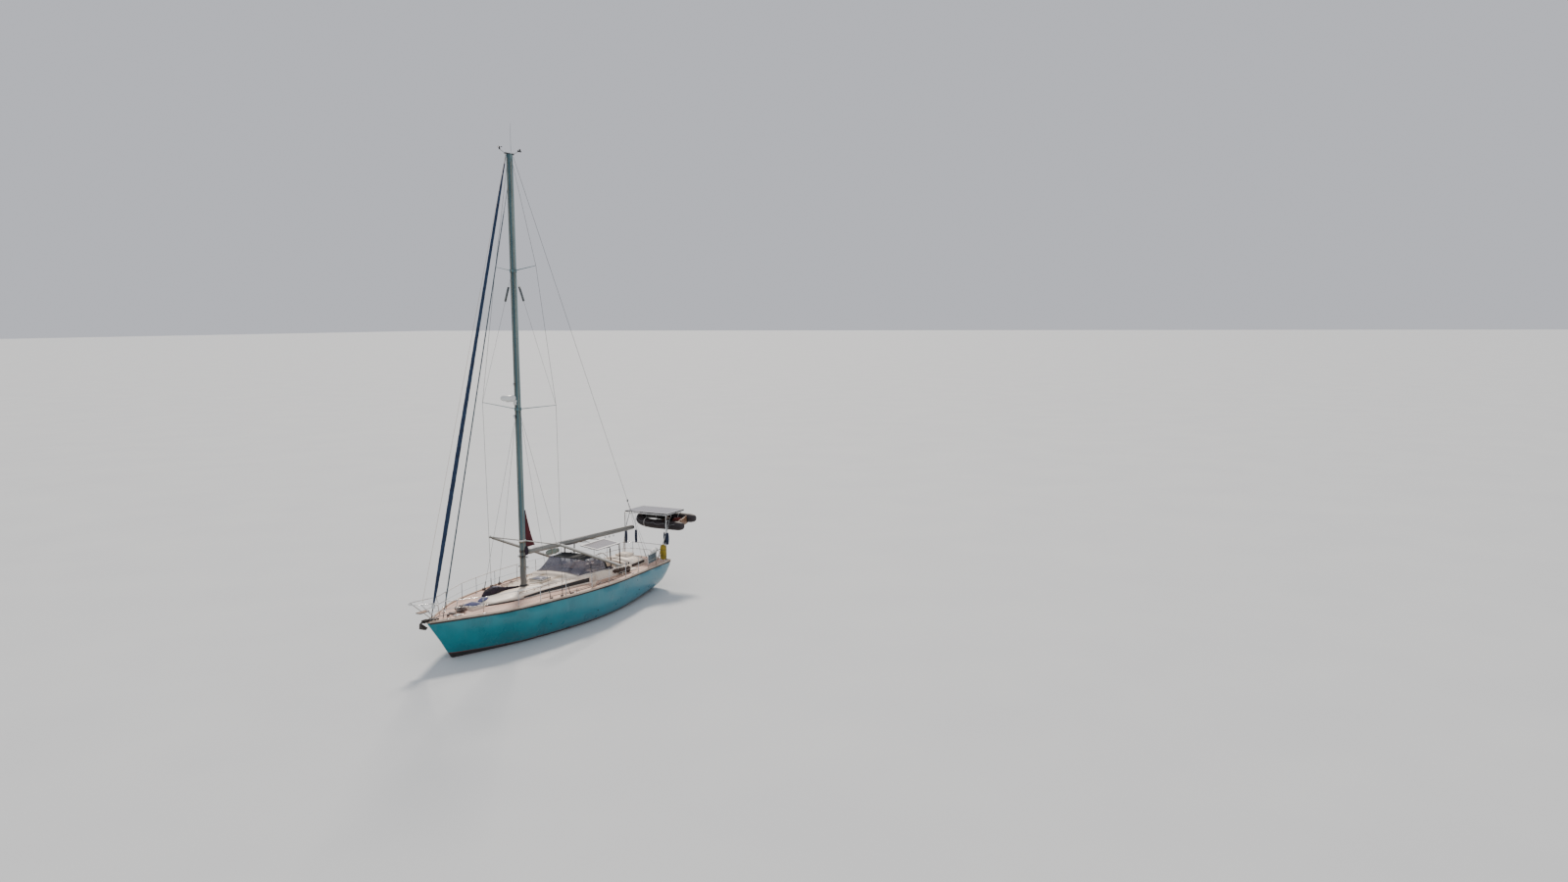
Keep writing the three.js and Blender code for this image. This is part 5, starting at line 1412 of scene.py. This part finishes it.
def make_roof_gear():
    # Halyards led aft over the roof, through organisers, to the foot of the hood
    lines, sheaves = [], []
    for y0, y1 in ((0.13, 0.2), (0.15, 0.26), (0.17, 0.32)):
        for side in BOTH:
            z = roof_z(1.2, y1)
            lines.append(([
                (1.56, y0 * side, roof_z(1.56, y0) + 0.05), (1.2, (y1 + 0.14) * side, z + 0.03),
                (0.02, (y1 + 0.16) * side, roof_z(0.0, y1) + 0.03),
            ], 0.007))
            y = (y1 + 0.13) * side
            sheaves.append(((1.2, y, z), (1.2, y, z + 0.045), 0.024))
    fitting("halyards_on_roof", "bag_cloth", tubes=lines, finish=ROPE)
    fitting("halyard_organisers", "stainless", rods=sheaves)
    # Teak grab rails with their feet
    spots = [
        (x, y, roof_z(x, y)) for x, y in zip(between(2.7, 0.15, 8), between(0.56, 0.98, 8))
    ]
    fitting("roof_grab_rails", "teak_rail", rods=[
        ((x, y, z - 0.006), (x, y, z + 0.045), 0.02, 0.016) for x, y, z in spots
    ], tubes=[([(x, y, z + 0.052) for x, y, z in spots], 0.016)], sides=BOTH)


def hatch_trim(name, x0, x1, half, z, body, frame_finish):
    """The lid's alloy frame, its handles and its hinges."""
    wide = 0.03
    blocks = [
        ((x0 - 0.004, -half - 0.004, z), (x1 + 0.004, -half + wide, z + 0.032), 0.004),
        ((x0 - 0.004, half - wide, z), (x1 + 0.004, half + 0.004, z + 0.032), 0.004),
        ((x0 - 0.004, -half, z), (x0 + wide, half, z + 0.032), 0.004),
        ((x1 - wide, -half, z), (x1 + 0.004, half, z + 0.032), 0.004),
    ]
    rods = [
        ((x1 + 0.004, y - 0.04, z + 0.012), (x1 + 0.004, y + 0.04, z + 0.012), 0.011)
        for y in (-0.2, 0.2)
    ]
    rods += [((x0 + 0.09, y, z + 0.03), (x0 + 0.09, y, z + 0.046), 0.018) for y in (-0.18, 0.18)]
    fitting(name, "stainless", blocks=blocks, rods=rods, body=body, finish=frame_finish)


def frame_round(bm, corners, wide, high):
    """Flat bars along a panel's edges: the corners run round its top, and the bars lie inside."""
    inner = []
    for corner, before, after in zip(corners, corners[-1:] + corners[:-1], corners[1:] + corners[:1]):
        inner.append(corner + ((before - corner).normalized() + (after - corner).normalized()) * wide)
    lift = Vector((0, 0, high))
    for k in range(4):
        loft(bm, [
            [corners[i] - lift, inner[i] - lift, inner[i] + lift, corners[i] + lift]
            for i in (k, (k + 1) % 4)
        ])


def make_panels():
    """White frames round the side panels and the arch panel, with the braces under them."""
    fore, aft, inner, outer, inner_z, outer_z = -1.49, -3.09, 0.27, 1.15, 2.81, 2.70
    slope = (inner_z - outer_z) / (outer - inner)
    bm = bmesh.new()
    for side in BOTH:
        def top(x, y):
            return Vector((x, y * side, inner_z - (y - inner) * slope + 0.004))
        corners = [top(fore, inner), top(fore, outer), top(aft, outer), top(aft, inner)]
        frame_round(bm, corners, 0.058, 0.007)
        for x in (-2.0, -2.6):
            brace = [top(x, y) - Vector((0, 0, 0.052)) for y in (inner + 0.02, outer - 0.02)]
            sweep(bm, brace, 0.014, 6)
    piece("side_panel_frames", bm, WHITE_ROPE, "root", "solar_cells")
    # Dark sleeves on the legs under the panels
    fitting("panel_leg_sleeves", "black_trim", rods=[
        ((x, 1.196, 2.6), (x, 1.224, coaming_top(x) + 0.06), 0.027) for x in (-2.3, -2.96)
    ], sides=BOTH, finish=DARK_STRAKE)
    low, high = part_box("arch_solar_panel")
    bm = bmesh.new()
    z = high[2] - 0.012
    corners = [
        Vector((x, y, z)) for x, y in (
            (low[0], low[1]), (low[0], high[1]), (high[0], high[1]), (high[0], low[1]),
        )
    ]
    frame_round(bm, corners, 0.035, 0.016)
    piece("arch_panel_frame", bm, FINISH["white_moulding"], "root", "solar_cells")
    fitting("arch_panel_box", "black_trim", blocks=[((-7.6, -0.1, 3.29), (-7.35, 0.1, 3.323), 0.01)])


def make_mast_gear():
    mast_x, along, across = 1.792, 0.15, 0.095
    aft, fore = mast_x - along, mast_x + along

    def collar(out, z):
        return [
            (mast_x + (along + out) * math.cos(a), (across + out) * math.sin(a), z)
            for a in full_turn(33)
        ]

    # Deck collar, halyard winches and cleats, the slot that the sail rolls into
    fitting("mast_boot", "black_trim", tubes=[(collar(0.012, 1.83), 0.024)])
    fitting("mast_winches", "stainless", rods=[
        item for z in (2.55, 2.95) for item in (
            ((mast_x - 0.02, across - 0.01, z), (mast_x - 0.02, across + 0.03, z), 0.052),
            ((mast_x - 0.02, across + 0.03, z), (mast_x - 0.02, across + 0.12, z), 0.034, 0.04),
            ((mast_x - 0.02, across + 0.12, z), (mast_x - 0.02, across + 0.14, z), 0.046),
        )
    ], sides=BOTH)
    fitting("mast_cleats", "stainless", rods=[
        item for z in (2.2, 2.38) for item in (
            ((mast_x + 0.03, across - 0.01, z), (mast_x + 0.03, across + 0.04, z), 0.012),
            ((mast_x + 0.03, across + 0.045, z - 0.09), (mast_x + 0.03, across + 0.045, z + 0.09), 0.009),
        )
    ], sides=BOTH)
    halyards = [
        ([(fore + 0.014, 0.03, 2.6), (fore + 0.02, 0.04, 10.0), (fore + 0.014, 0.03, 18.3)], 0.006),
        ([(mast_x + 0.04, across + 0.01, 2.4), (mast_x + 0.05, across + 0.012, 18.2)], 0.006),
        ([(mast_x - 0.05, -across - 0.01, 2.4), (mast_x - 0.04, -across - 0.012, 18.2)], 0.006),
        ([(2.07, 0.05, 18.36), (7.4, 0.27, 2.41)], 0.005),
    ]
    fitting("halyards", "grey_canvas", tubes=halyards, finish=ROPE)
    fitting("mast_slot", "black_trim", blocks=[
        ((aft - 0.006, -0.012, 3.3), (aft + 0.02, 0.012, 18.3), 0.003),
    ])
    # Deck lamp, steaming lamp and the gooseneck's clamps
    fitting("mast_lamps", "black_trim", blocks=[
        ((fore - 0.01, -0.05, 8.45), (fore + 0.09, 0.05, 8.56), 0.015),
        ((fore - 0.01, -0.04, 9.72), (fore + 0.07, 0.04, 9.8), 0.012),
    ])
    fitting("mast_lamp_lenses", "white_moulding", balls=[
        ((fore + 0.09, 0, 8.5), 0.045, (0.5, 1, 1)), ((fore + 0.07, 0, 9.76), 0.035, (0.6, 1, 1)),
    ], finish=LENS_GLASS)
    fitting("gooseneck_clamps", "black_trim", tubes=[
        (collar(0.006, z), 0.014) for z in (2.95, 3.0, 3.17, 3.22)
    ])
    # A dark maroon bag of halyard tails, hung on the port side over the winch
    bm = bmesh.new()
    path = [(mast_x - 0.02, across + 0.085, 3.04 + 0.34 * t) for t in between(0, 1, 13)]
    sweep(bm, path, lambda t: 0.075 * (0.4 + 0.6 * swell(t, 0.04, 0.4)), 16)
    bag = piece("halyard_bag", bm, FINISH["bag_cloth"], "root", "bag_cloth", SOFT_ANGLE)
    # Masthead: tri-colour lamp, wind vane and cups, sheave cage
    fitting("masthead_lamp", "white_moulding", rods=[
        ((1.76, 0, 18.48), (1.76, 0, 18.52), 0.045), ((1.76, 0, 18.52), (1.76, 0, 18.6), 0.036),
    ], balls=[((1.76, 0, 18.6), 0.036, (1, 1, 0.6))], finish=LENS_GLASS)
    cups = [
        (2.33 + 0.075 * math.cos(a), 0.075 * math.sin(a), 18.66) for a in (0.3, 0.3 + 2.094, 0.3 + 4.189)
    ]
    fitting("wind_instruments", "black_trim", rods=[
        ((2.33, 0, 18.6), (2.33, 0, 18.675), 0.012), *(((2.33, 0, 18.66), cup, 0.004) for cup in cups),
    ], balls=[(cup, 0.024, (1, 1, 0.9)) for cup in cups], blocks=[
        ((1.22, 0.055, 18.6), (1.3, 0.065, 18.7), 0.003),
    ])
    fitting("masthead_sheaves", "stainless", rods=[
        ((x, -0.02, 18.462), (x, 0.02, 18.462), 0.05) for x in (1.6, 2.0)
    ])


def make_boom_gear():
    gooseneck_z, end_z = 3.085, 2.85

    def on_boom(x, y, up):
        return (x, y, gooseneck_z - (1.56 - x) * (gooseneck_z - end_z) / (1.56 + 5.68) + up)

    fitting("boom_end_caps", "black_trim", rods=[
        (on_boom(-5.66, 0, 0), on_boom(-5.72, 0, 0), 0.085, 0.06),
    ], blocks=[
        ((-5.74, -0.02, 2.81), (-5.6, 0.02, 2.9), 0.006),
    ], body="boom")
    fitting("boom_track", "stainless", tubes=[
        ([on_boom(x, 0, 0.096) for x in between(-5.5, 1.1, 12)], 0.011),
    ], body="boom")
    fitting("boom_outhaul_car", "stainless", blocks=[
        ((0.98, -0.03, 3.16), (1.16, 0.03, 3.2), 0.006),
    ], body="boom")
    fitting("clew_shackle", "stainless", rods=[((1.1, 0, 3.215), (1.1, 0, 3.325), 0.009)])
    fitting("boom_outhaul", "bag_cloth", tubes=[
        ([on_boom(-5.6, 0.01, 0.1), on_boom(-2, 0.012, 0.118), (1.0, 0.01, 3.185)], 0.006),
    ], body="boom", finish=ROPE)
    # A folded awning slung under the fore part of the boom, with its two ties
    rings = []
    for share in between(0, 1, 15):
        x = 0.36 - 0.76 * share
        full = swell(share, 0.02, 0.16) * (1 + 0.06 * math.sin(x * 29))
        top = on_boom(x, 0, -0.1)[2]
        rings.append([Vector((
            x, 0.075 * full * math.cos(a) * (1 + 0.08 * math.sin(x * 37)),
            top - 0.12 + 0.115 * full * math.sin(a),
        )) for a in turns(20)])
    roll = piece("boom_awning_roll", lofted(rings), AWNING, "boom", "grey_canvas", SOFT_ANGLE)
    ties = []
    for x in (0.12, -0.2):
        middle = on_boom(x, 0, -0.1)[2] - 0.06
        ties.append(([
            (x, 0.102 * math.cos(a), middle + 0.185 * math.sin(a)) for a in full_turn(29)
        ], 0.006))
    fitting("boom_awning_ties", "bag_cloth", tubes=ties, body="boom", finish=ROPE)
    # Sheet blocks and bails hanging under the boom
    bails = [on_boom(x, 0, -0.09) for x in (-3.6, -3.9, -4.2)]
    fitting("boom_bails", "stainless", rods=[
        item for x, y, z in bails for item in (
            ((x, 0, z + 0.01), (x, 0, z - 0.06), 0.008), ((x, -0.012, z - 0.09), (x, 0.012, z - 0.09), 0.04),
        )
    ], body="boom")


def make_cockpit():
    # Teak slats on the seats and a grating on the sole
    seats = [
        ((-3.9, y, 1.2), (-1.2, y + 0.052, 1.212)) for y in between(0.41, 1.02, 11)
    ]
    fitting("seat_slats", "teak_deck", blocks=seats, sides=BOTH, finish=FINISH["teak_rail"])
    grating = [
        ((x, -0.34, 0.752), (x + 0.04, 0.34, 0.772))
        for x in between(-3.7, -1.26, 37) if abs(x + 3.15) > 0.14
    ]
    runners = [((-3.72, y, 0.7505), (-1.2, y + 0.03, 0.762)) for y in (-0.34, -0.16, 0.13, 0.31)]
    fitting("sole_grating", "teak_deck", blocks=grating + runners, finish=FINISH["teak_rail"])
    # Binnacle: compass under its dome, instrument faces, engine lever and grab hoop
    fitting("binnacle_compass", "black_trim", rods=[((-3.15, 0, 1.826), (-3.15, 0, 1.86), 0.085, 0.078)])
    fitting("compass_dome", "white_moulding", balls=[
        ((-3.15, 0, 1.86), 0.072, (1, 1, 0.75), 16),
    ], finish=LENS_GLASS)
    fitting("instrument_faces", "smoked_acrylic", blocks=[
        ((-3.268, y - 0.042, 1.70), (-3.258, y + 0.042, 1.785), 0.006) for y in (-0.06, 0.06)
    ])
    fitting("engine_lever", "stainless", rods=[
        ((-3.12, -0.12, 1.68), (-3.12, -0.16, 1.68), 0.022),
        ((-3.12, -0.155, 1.68), (-3.08, -0.16, 1.84), 0.008),
    ], balls=[((-3.08, -0.16, 1.85), 0.02)])
    hoop = curve_through([
        (-2.99, -0.15, 1.3), (-2.97, -0.16, 1.85), (-2.98, -0.1, 1.98), (-2.98, 0.1, 1.98),
        (-2.97, 0.16, 1.85), (-2.99, 0.15, 1.3),
    ], 6)
    fitting("binnacle_hoop", "stainless", tubes=[(hoop, 0.0125)])
    # Sheet winches: ribs on the drum, the jaws that hold the tail, and the turns of rope
    z = coaming_top(-2.75)

    def on_winch(radius, a, height):
        return (-2.75 + radius * math.cos(a), 1.205 + radius * math.sin(a), z + height)

    def turn_of(radius, height, bar):
        return ([on_winch(radius, a, height) for a in full_turn(29)], bar)

    fitting("winch_ribs", "stainless", rods=[
        (on_winch(0.055, a, 0.04), on_winch(0.058, a, 0.14), 0.003)
        for a in turns(18)
    ], tubes=[turn_of(0.066, 0.156, 0.006), turn_of(0.066, 0.17, 0.006)], sides=BOTH)
    fitting("winch_turns", "bag_cloth", tubes=[
        turn_of(0.062, height, 0.008) for height in (0.062, 0.08, 0.098)
    ], sides=BOTH, finish=ROPE)
    fitting("coaming_cleats", "stainless", rods=[
        rod_ for x in (-2.45, -3.15) for rod_ in horn_cleat(x, 1.2, coaming_top(x))
    ], sides=BOTH)
    # Teak handhold on the sliding hatch
    fitting("slide_handle", "varnished_teak", blocks=[
        ((-1.1, -0.2, 1.884), (-1.06, 0.2, 1.905), 0.006),
    ], body="companionway")


def make_wheel_grip():
    fitting("wheel_grip", "stainless", tubes=[([
        (-3.31, 0.38 * math.cos(a), 1.72 + 0.38 * math.sin(a)) for a in full_turn(73)
    ], 0.017)], body="wheel", finish=LEATHER)


def make_cloths():
    """The weather cloth on the quarter rail and the strip of sail at the clew."""
    fore, wide = -4.74, 0.88
    bm = grid_surface(30, 14, lambda u, v: Vector((
        fore - wide * u,
        rail_y(fore - wide * u) - 0.017 + 0.006 * math.sin(u * 23) * math.sin(v * math.pi),
        1.474 + 0.392 * v - 0.012 * math.sin(u * math.pi),
    )))
    area = area_of(bm)
    cloth = piece("weather_cloth_sheet", bm, SLATE_CLOTH, "root", "grey_canvas", SOFT_ANGLE)
    thicken(cloth, 0.003)
    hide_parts("weather_cloth")
    hem = [
        (fore - wide * u, rail_y(fore - wide * u) - 0.017, 1.866 - 0.012 * math.sin(u * math.pi))
        for u in between(0, 1, 17)
    ]
    hems = fitting("weather_cloth_hem", "grey_canvas", tubes=[(hem, 0.012)], finish=WHITE_ROPE)
    luff = 1.641

    def clew(u, v):
        # v runs up the luff, and u out from it to the leech
        z = 3.29 + 1.5 * v
        out = 0.55 * (1 - v) ** 1.25 + 0.085 * v
        drop = 0.02 * u * (1 - v)
        return Vector((luff - out * u, 0.008 * math.sin(u * 9 + v * 7) * u, z + drop))

    bm = grid_surface(18, 36, clew)
    area = area_of(bm)
    cloth = piece(
        "mainsail_clew_sheet", bm, FINISH["maroon_canvas"], "root", "maroon_canvas", SOFT_ANGLE,
    )
    thicken(cloth, 0.004)
    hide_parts("mainsail_clew")
    edge = [clew(1, v) for v in between(0, 1, 16)]
    foot = [clew(u, 0) for u in between(0, 1, 6)]
    trim = fitting("mainsail_clew_tapes", "maroon_canvas", tubes=[(edge, 0.006), (foot, 0.006)],
                   rods=[((1.1, -0.012, 3.33), (1.1, 0.012, 3.33), 0.03)])


RAIL_TUBE = 0.014


def make_rail_cushion():
    """The white horseshoe buoy in its cover, lashed along the top of the quarter rail."""
    rings = []
    for share in between(0, 1, 25):
        x = -5.02 - 0.62 * share
        full = max(math.sin(math.pi * share), 0.0) ** 0.3
        centre = Vector((x, rail_y(x) - 0.01, 1.975))
        rings.append([centre + Vector((
            0, math.cos(a) * (0.02 + 0.075 * full), math.sin(a) * (0.02 + 0.062 * full),
        )) for a in turns(20)])
    cushion = piece(
        "rail_horseshoe_buoy", lofted(rings), WHITE_ROPE, "root", "white_moulding", SOFT_ANGLE,
    )
    ties = []
    for x in (-5.16, -5.5):
        y = rail_y(x) - 0.01
        ties.append(([
            (x, y + 0.098 * math.cos(a), 1.965 + 0.086 * math.sin(a))
            for a in full_turn(25)
        ], 0.005))
    fitting("rail_horseshoe_ties", "black_trim", tubes=ties)


def make_rescue_buoy():
    """A rescue buoy in a yellow cover, strapped to the quarter rail."""
    x, low = -5.99, 1.43
    y = rail_y(x) + RAIL_TUBE + 0.142
    profile = [
        (0.0, 0.03), (0.012, 0.09), (0.06, 0.134), (0.14, 0.141), (0.53, 0.141), (0.59, 0.13),
        (0.65, 0.09), (0.68, 0.03),
    ]
    rings = [[
        Vector((x + radius * (1 + 0.025 * math.sin(4 * a + height * 20)) * math.cos(a),
                y + radius * 0.99 * math.sin(a), low + height))
        for a in turns(28)
    ] for height, radius in profile]
    cover = piece(
        "rescue_buoy_cover", lofted(rings), FINISH["yellow_cloth"], "root", "yellow_cloth",
        math.radians(55),
    )
    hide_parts("rescue_buoy")
    straps = [([
        (x + 0.143 * math.cos(a), y + 0.143 * math.sin(a), low + h) for a in full_turn(29)
    ], 0.006) for h in (0.15, 0.45)]
    fitting("rescue_buoy_straps", "black_trim", tubes=straps)


def make_arch_gear():
    # Bundles tied to the arch legs, and the lashings of the tender
    bundles = [
        (-6.64, 1.06, 1.96, 2.52, 0.05), (-6.6, 1.235, 1.98, 2.52, 0.085),
        (-6.62, -1.05, 1.86, 2.5, 0.06), (-6.705, -0.56, 1.9, 2.5, 0.065),
    ]
    for i, (x, y, low, high, radius) in enumerate(bundles):
        bm = bmesh.new()
        path = [(x, y, low + (high - low) * t) for t in between(0, 1, 13)]
        sweep(bm, path, lambda t, r=radius: r * (0.45 + 0.55 * swell(t, 0.03, 0.4)), 16)
        bundle = piece(f"arch_bundle_{i + 1}", bm, NAVY_BAG, "root", "navy_canvas", SOFT_ANGLE)
    fitting("arch_bundle_straps", "black_trim", rods=[
        ((x, y, high - 0.02), (-6.68, max(min(y, 1.15), -1.15), 3.28), 0.005) for x, y, _, high, _ in bundles
    ])
    bm = bmesh.new()
    for x in (TENDER["near"], TENDER["far"]):
        for y in (-0.25, 0.95):
            sweep(bm, [
                (x + SLING_RADIUS * math.cos(a), y, tender_rise(y) + SLING_RADIUS * math.sin(a))
                for a in full_turn(25)
            ], 0.009)
    hang(bm)
    piece("tender_slings", bm, WHITE_ROPE, "root", "grey_canvas")


def make_backstay_gear():
    """The twin tackle at the backstay's foot, drawn taut."""
    foot, head = Vector((-6.7, 0, 1.24)), Vector((1.59, 0, 18.4))
    up = (head - foot).normalized()
    top = foot + up * 3.2
    rods = [(top, (-6.62, y, 1.3), 0.005) for y in (-0.22, 0.22)]
    fitting("backstay_tackle", "wire_rope", rods=rods, blocks=[
        (tuple(top - Vector((0.03, 0.02, 0.05))), tuple(top + Vector((0.03, 0.02, 0.06))), 0.008),
        *(((-6.66, y - 0.02, 1.235), (-6.58, y + 0.02, 1.3), 0.006) for y in (-0.22, 0.22)),
    ])


def make_sail_bag():
    """A long bag of folded sail lying on the coachroof beside the mast."""
    # x, y of its middle, half width, half height
    rows = [
        (2.05, -0.07, 0.044, 0.045), (2.2, -0.17, 0.055, 0.05), (2.45, -0.31, 0.075, 0.07),
        (2.68, -0.39, 0.115, 0.11), (2.9, -0.43, 0.175, 0.17), (3.2, -0.45, 0.2, 0.175),
        (3.42, -0.46, 0.16, 0.125), (3.6, -0.48, 0.06, 0.045),
    ]
    rings = []
    for share in between(0, 1, 41):
        x = rows[0][0] + share * (rows[-1][0] - rows[0][0])
        y, width, high = (at_share(rows, share, column) for column in (1, 2, 3))
        lump = 1 + 0.06 * math.sin(x * 17) + 0.05 * math.sin(x * 31 + 1)
        ring = []
        for a in turns(26):
            across = math.cos(a) * width * (1 + 0.05 * math.sin(3 * a + x * 9))
            floor_z = roof_z(x, y + across) + 0.003
            up = max(high * 0.55 + math.sin(a) * high * lump, 0)
            ring.append(Vector((x, y + across, floor_z + up)))
        rings.append(ring)
    bag = piece(
        "sail_bag", lofted(rings), FINISH["bag_cloth"], "root", "bag_cloth", math.radians(70),
    )
    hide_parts("foredeck_bag")
    # A pale roll of cloth on top of it
    start, end = Vector((2.72, -0.37, 1.9)), Vector((3.14, -0.39, 1.985))
    fold = bmesh.new()
    sweep(
        fold, [start.lerp(end, t) for t in between(0, 1, 13)],
        lambda t: 0.062 * (0.45 + 0.55 * swell(t, 0.04, 0.4)), 16, 0.8,
    )
    piece("sail_bag_roll", fold, SEAM_TAPE, "root", "grey_canvas", SOFT_ANGLE)
    # Lashings round the bag
    bm = bmesh.new()
    for share in (0.25, 0.55, 0.83):
        ring = rings[round(share * 40)]
        sweep(bm, [point + Vector((0, 0, 0.006)) for point in ring[:14]], 0.009, 6)
    piece("sail_bag_lashings", bm, DARK_STRAKE, "root", "bag_cloth")


hood_sheets = make_hood()
make_tender()
make_genoa()
make_inner_stay()
make_sail_bag()
make_hull_trim()
make_deck_gear()
make_lifelines()
make_foredeck()
make_side_decks()
make_coaming_gear()
make_roof_gear()
hatch_trim("fore_hatch_trim", 4.35, 4.97, 0.31, 1.6905, "fore_hatch", POLE_ALLOY)
hatch_trim("saloon_hatch_trim", 0.52, 1.1, 0.31, 1.8625, "saloon_hatch", BOOM_ALLOY)
hatch_trim("aft_hatch_trim", -5.3, -4.7, 0.29, 1.7425, "aft_hatch", FINISH["cream_gelcoat"])
make_panels()
make_mast_gear()
make_boom_gear()
make_cockpit()
make_wheel_grip()
make_cloths()
make_rescue_buoy()
make_rail_cushion()
make_arch_gear()
make_backstay_gear()


# Stage: a plain pale floor on the waterline, a pale world and soft studio light

def stage_finish(name, colour, roughness):
    made, tree, shader, place = new_material(name, {"Roughness": roughness})
    tone = add(
        tree, "ShaderNodeTexNoise", {"Scale": 0.2, "Detail": 2}, {"Vector": place},
    ).outputs[0]
    pale = add(
        tree, "ShaderNodeValToRGB", links={0: tone}, stops=[(0.3, colour[0]), (0.7, colour[1])],
    ).outputs[0]
    tree.links.new(pale, shader.inputs["Base Color"])
    return made


def make_stage():
    bm = bmesh.new()
    bmesh.ops.create_grid(bm, x_segments=4, y_segments=4, size=900)
    mesh = bpy.data.meshes.new("studio_floor")
    bm.to_mesh(mesh)
    bm.free()
    mesh.materials.append(stage_finish("painted_studio_floor", ("#C9CDCF", "#CDD1D2"), 0.8))
    floor = bpy.data.objects.new("studio_floor", mesh)
    bpy.context.scene.collection.objects.link(floor)

    world = bpy.data.worlds.new("studio")
    world.use_nodes = True
    world.node_tree.nodes.clear()
    sky = add(
        world.node_tree, "ShaderNodeBackground", {"Color": linear("#D6D8E0"), "Strength": 0.9},
    )
    add(world.node_tree, "ShaderNodeOutputWorld", links={0: sky.outputs[0]})
    bpy.context.scene.world = world

    # name, where the light comes from, strength, the angle it spreads over, its colour
    for name, source, strength, spread, colour in (
        ("key_light", (-0.62, -0.38, 0.69), 3.4, 9, "#FFF3E6"),
        ("fill_light", (0.75, 0.45, 0.5), 0.5, 60, "#E6EEFA"),
    ):
        lamp = bpy.data.lights.new(name, "SUN")
        lamp.energy = strength
        lamp.angle = math.radians(spread)
        lamp.color = linear(colour)[:3]
        light = bpy.data.objects.new(name, lamp)
        light.rotation_euler = Vector(source).to_track_quat("Z", "Y").to_euler()
        bpy.context.scene.collection.objects.link(light)


make_stage()
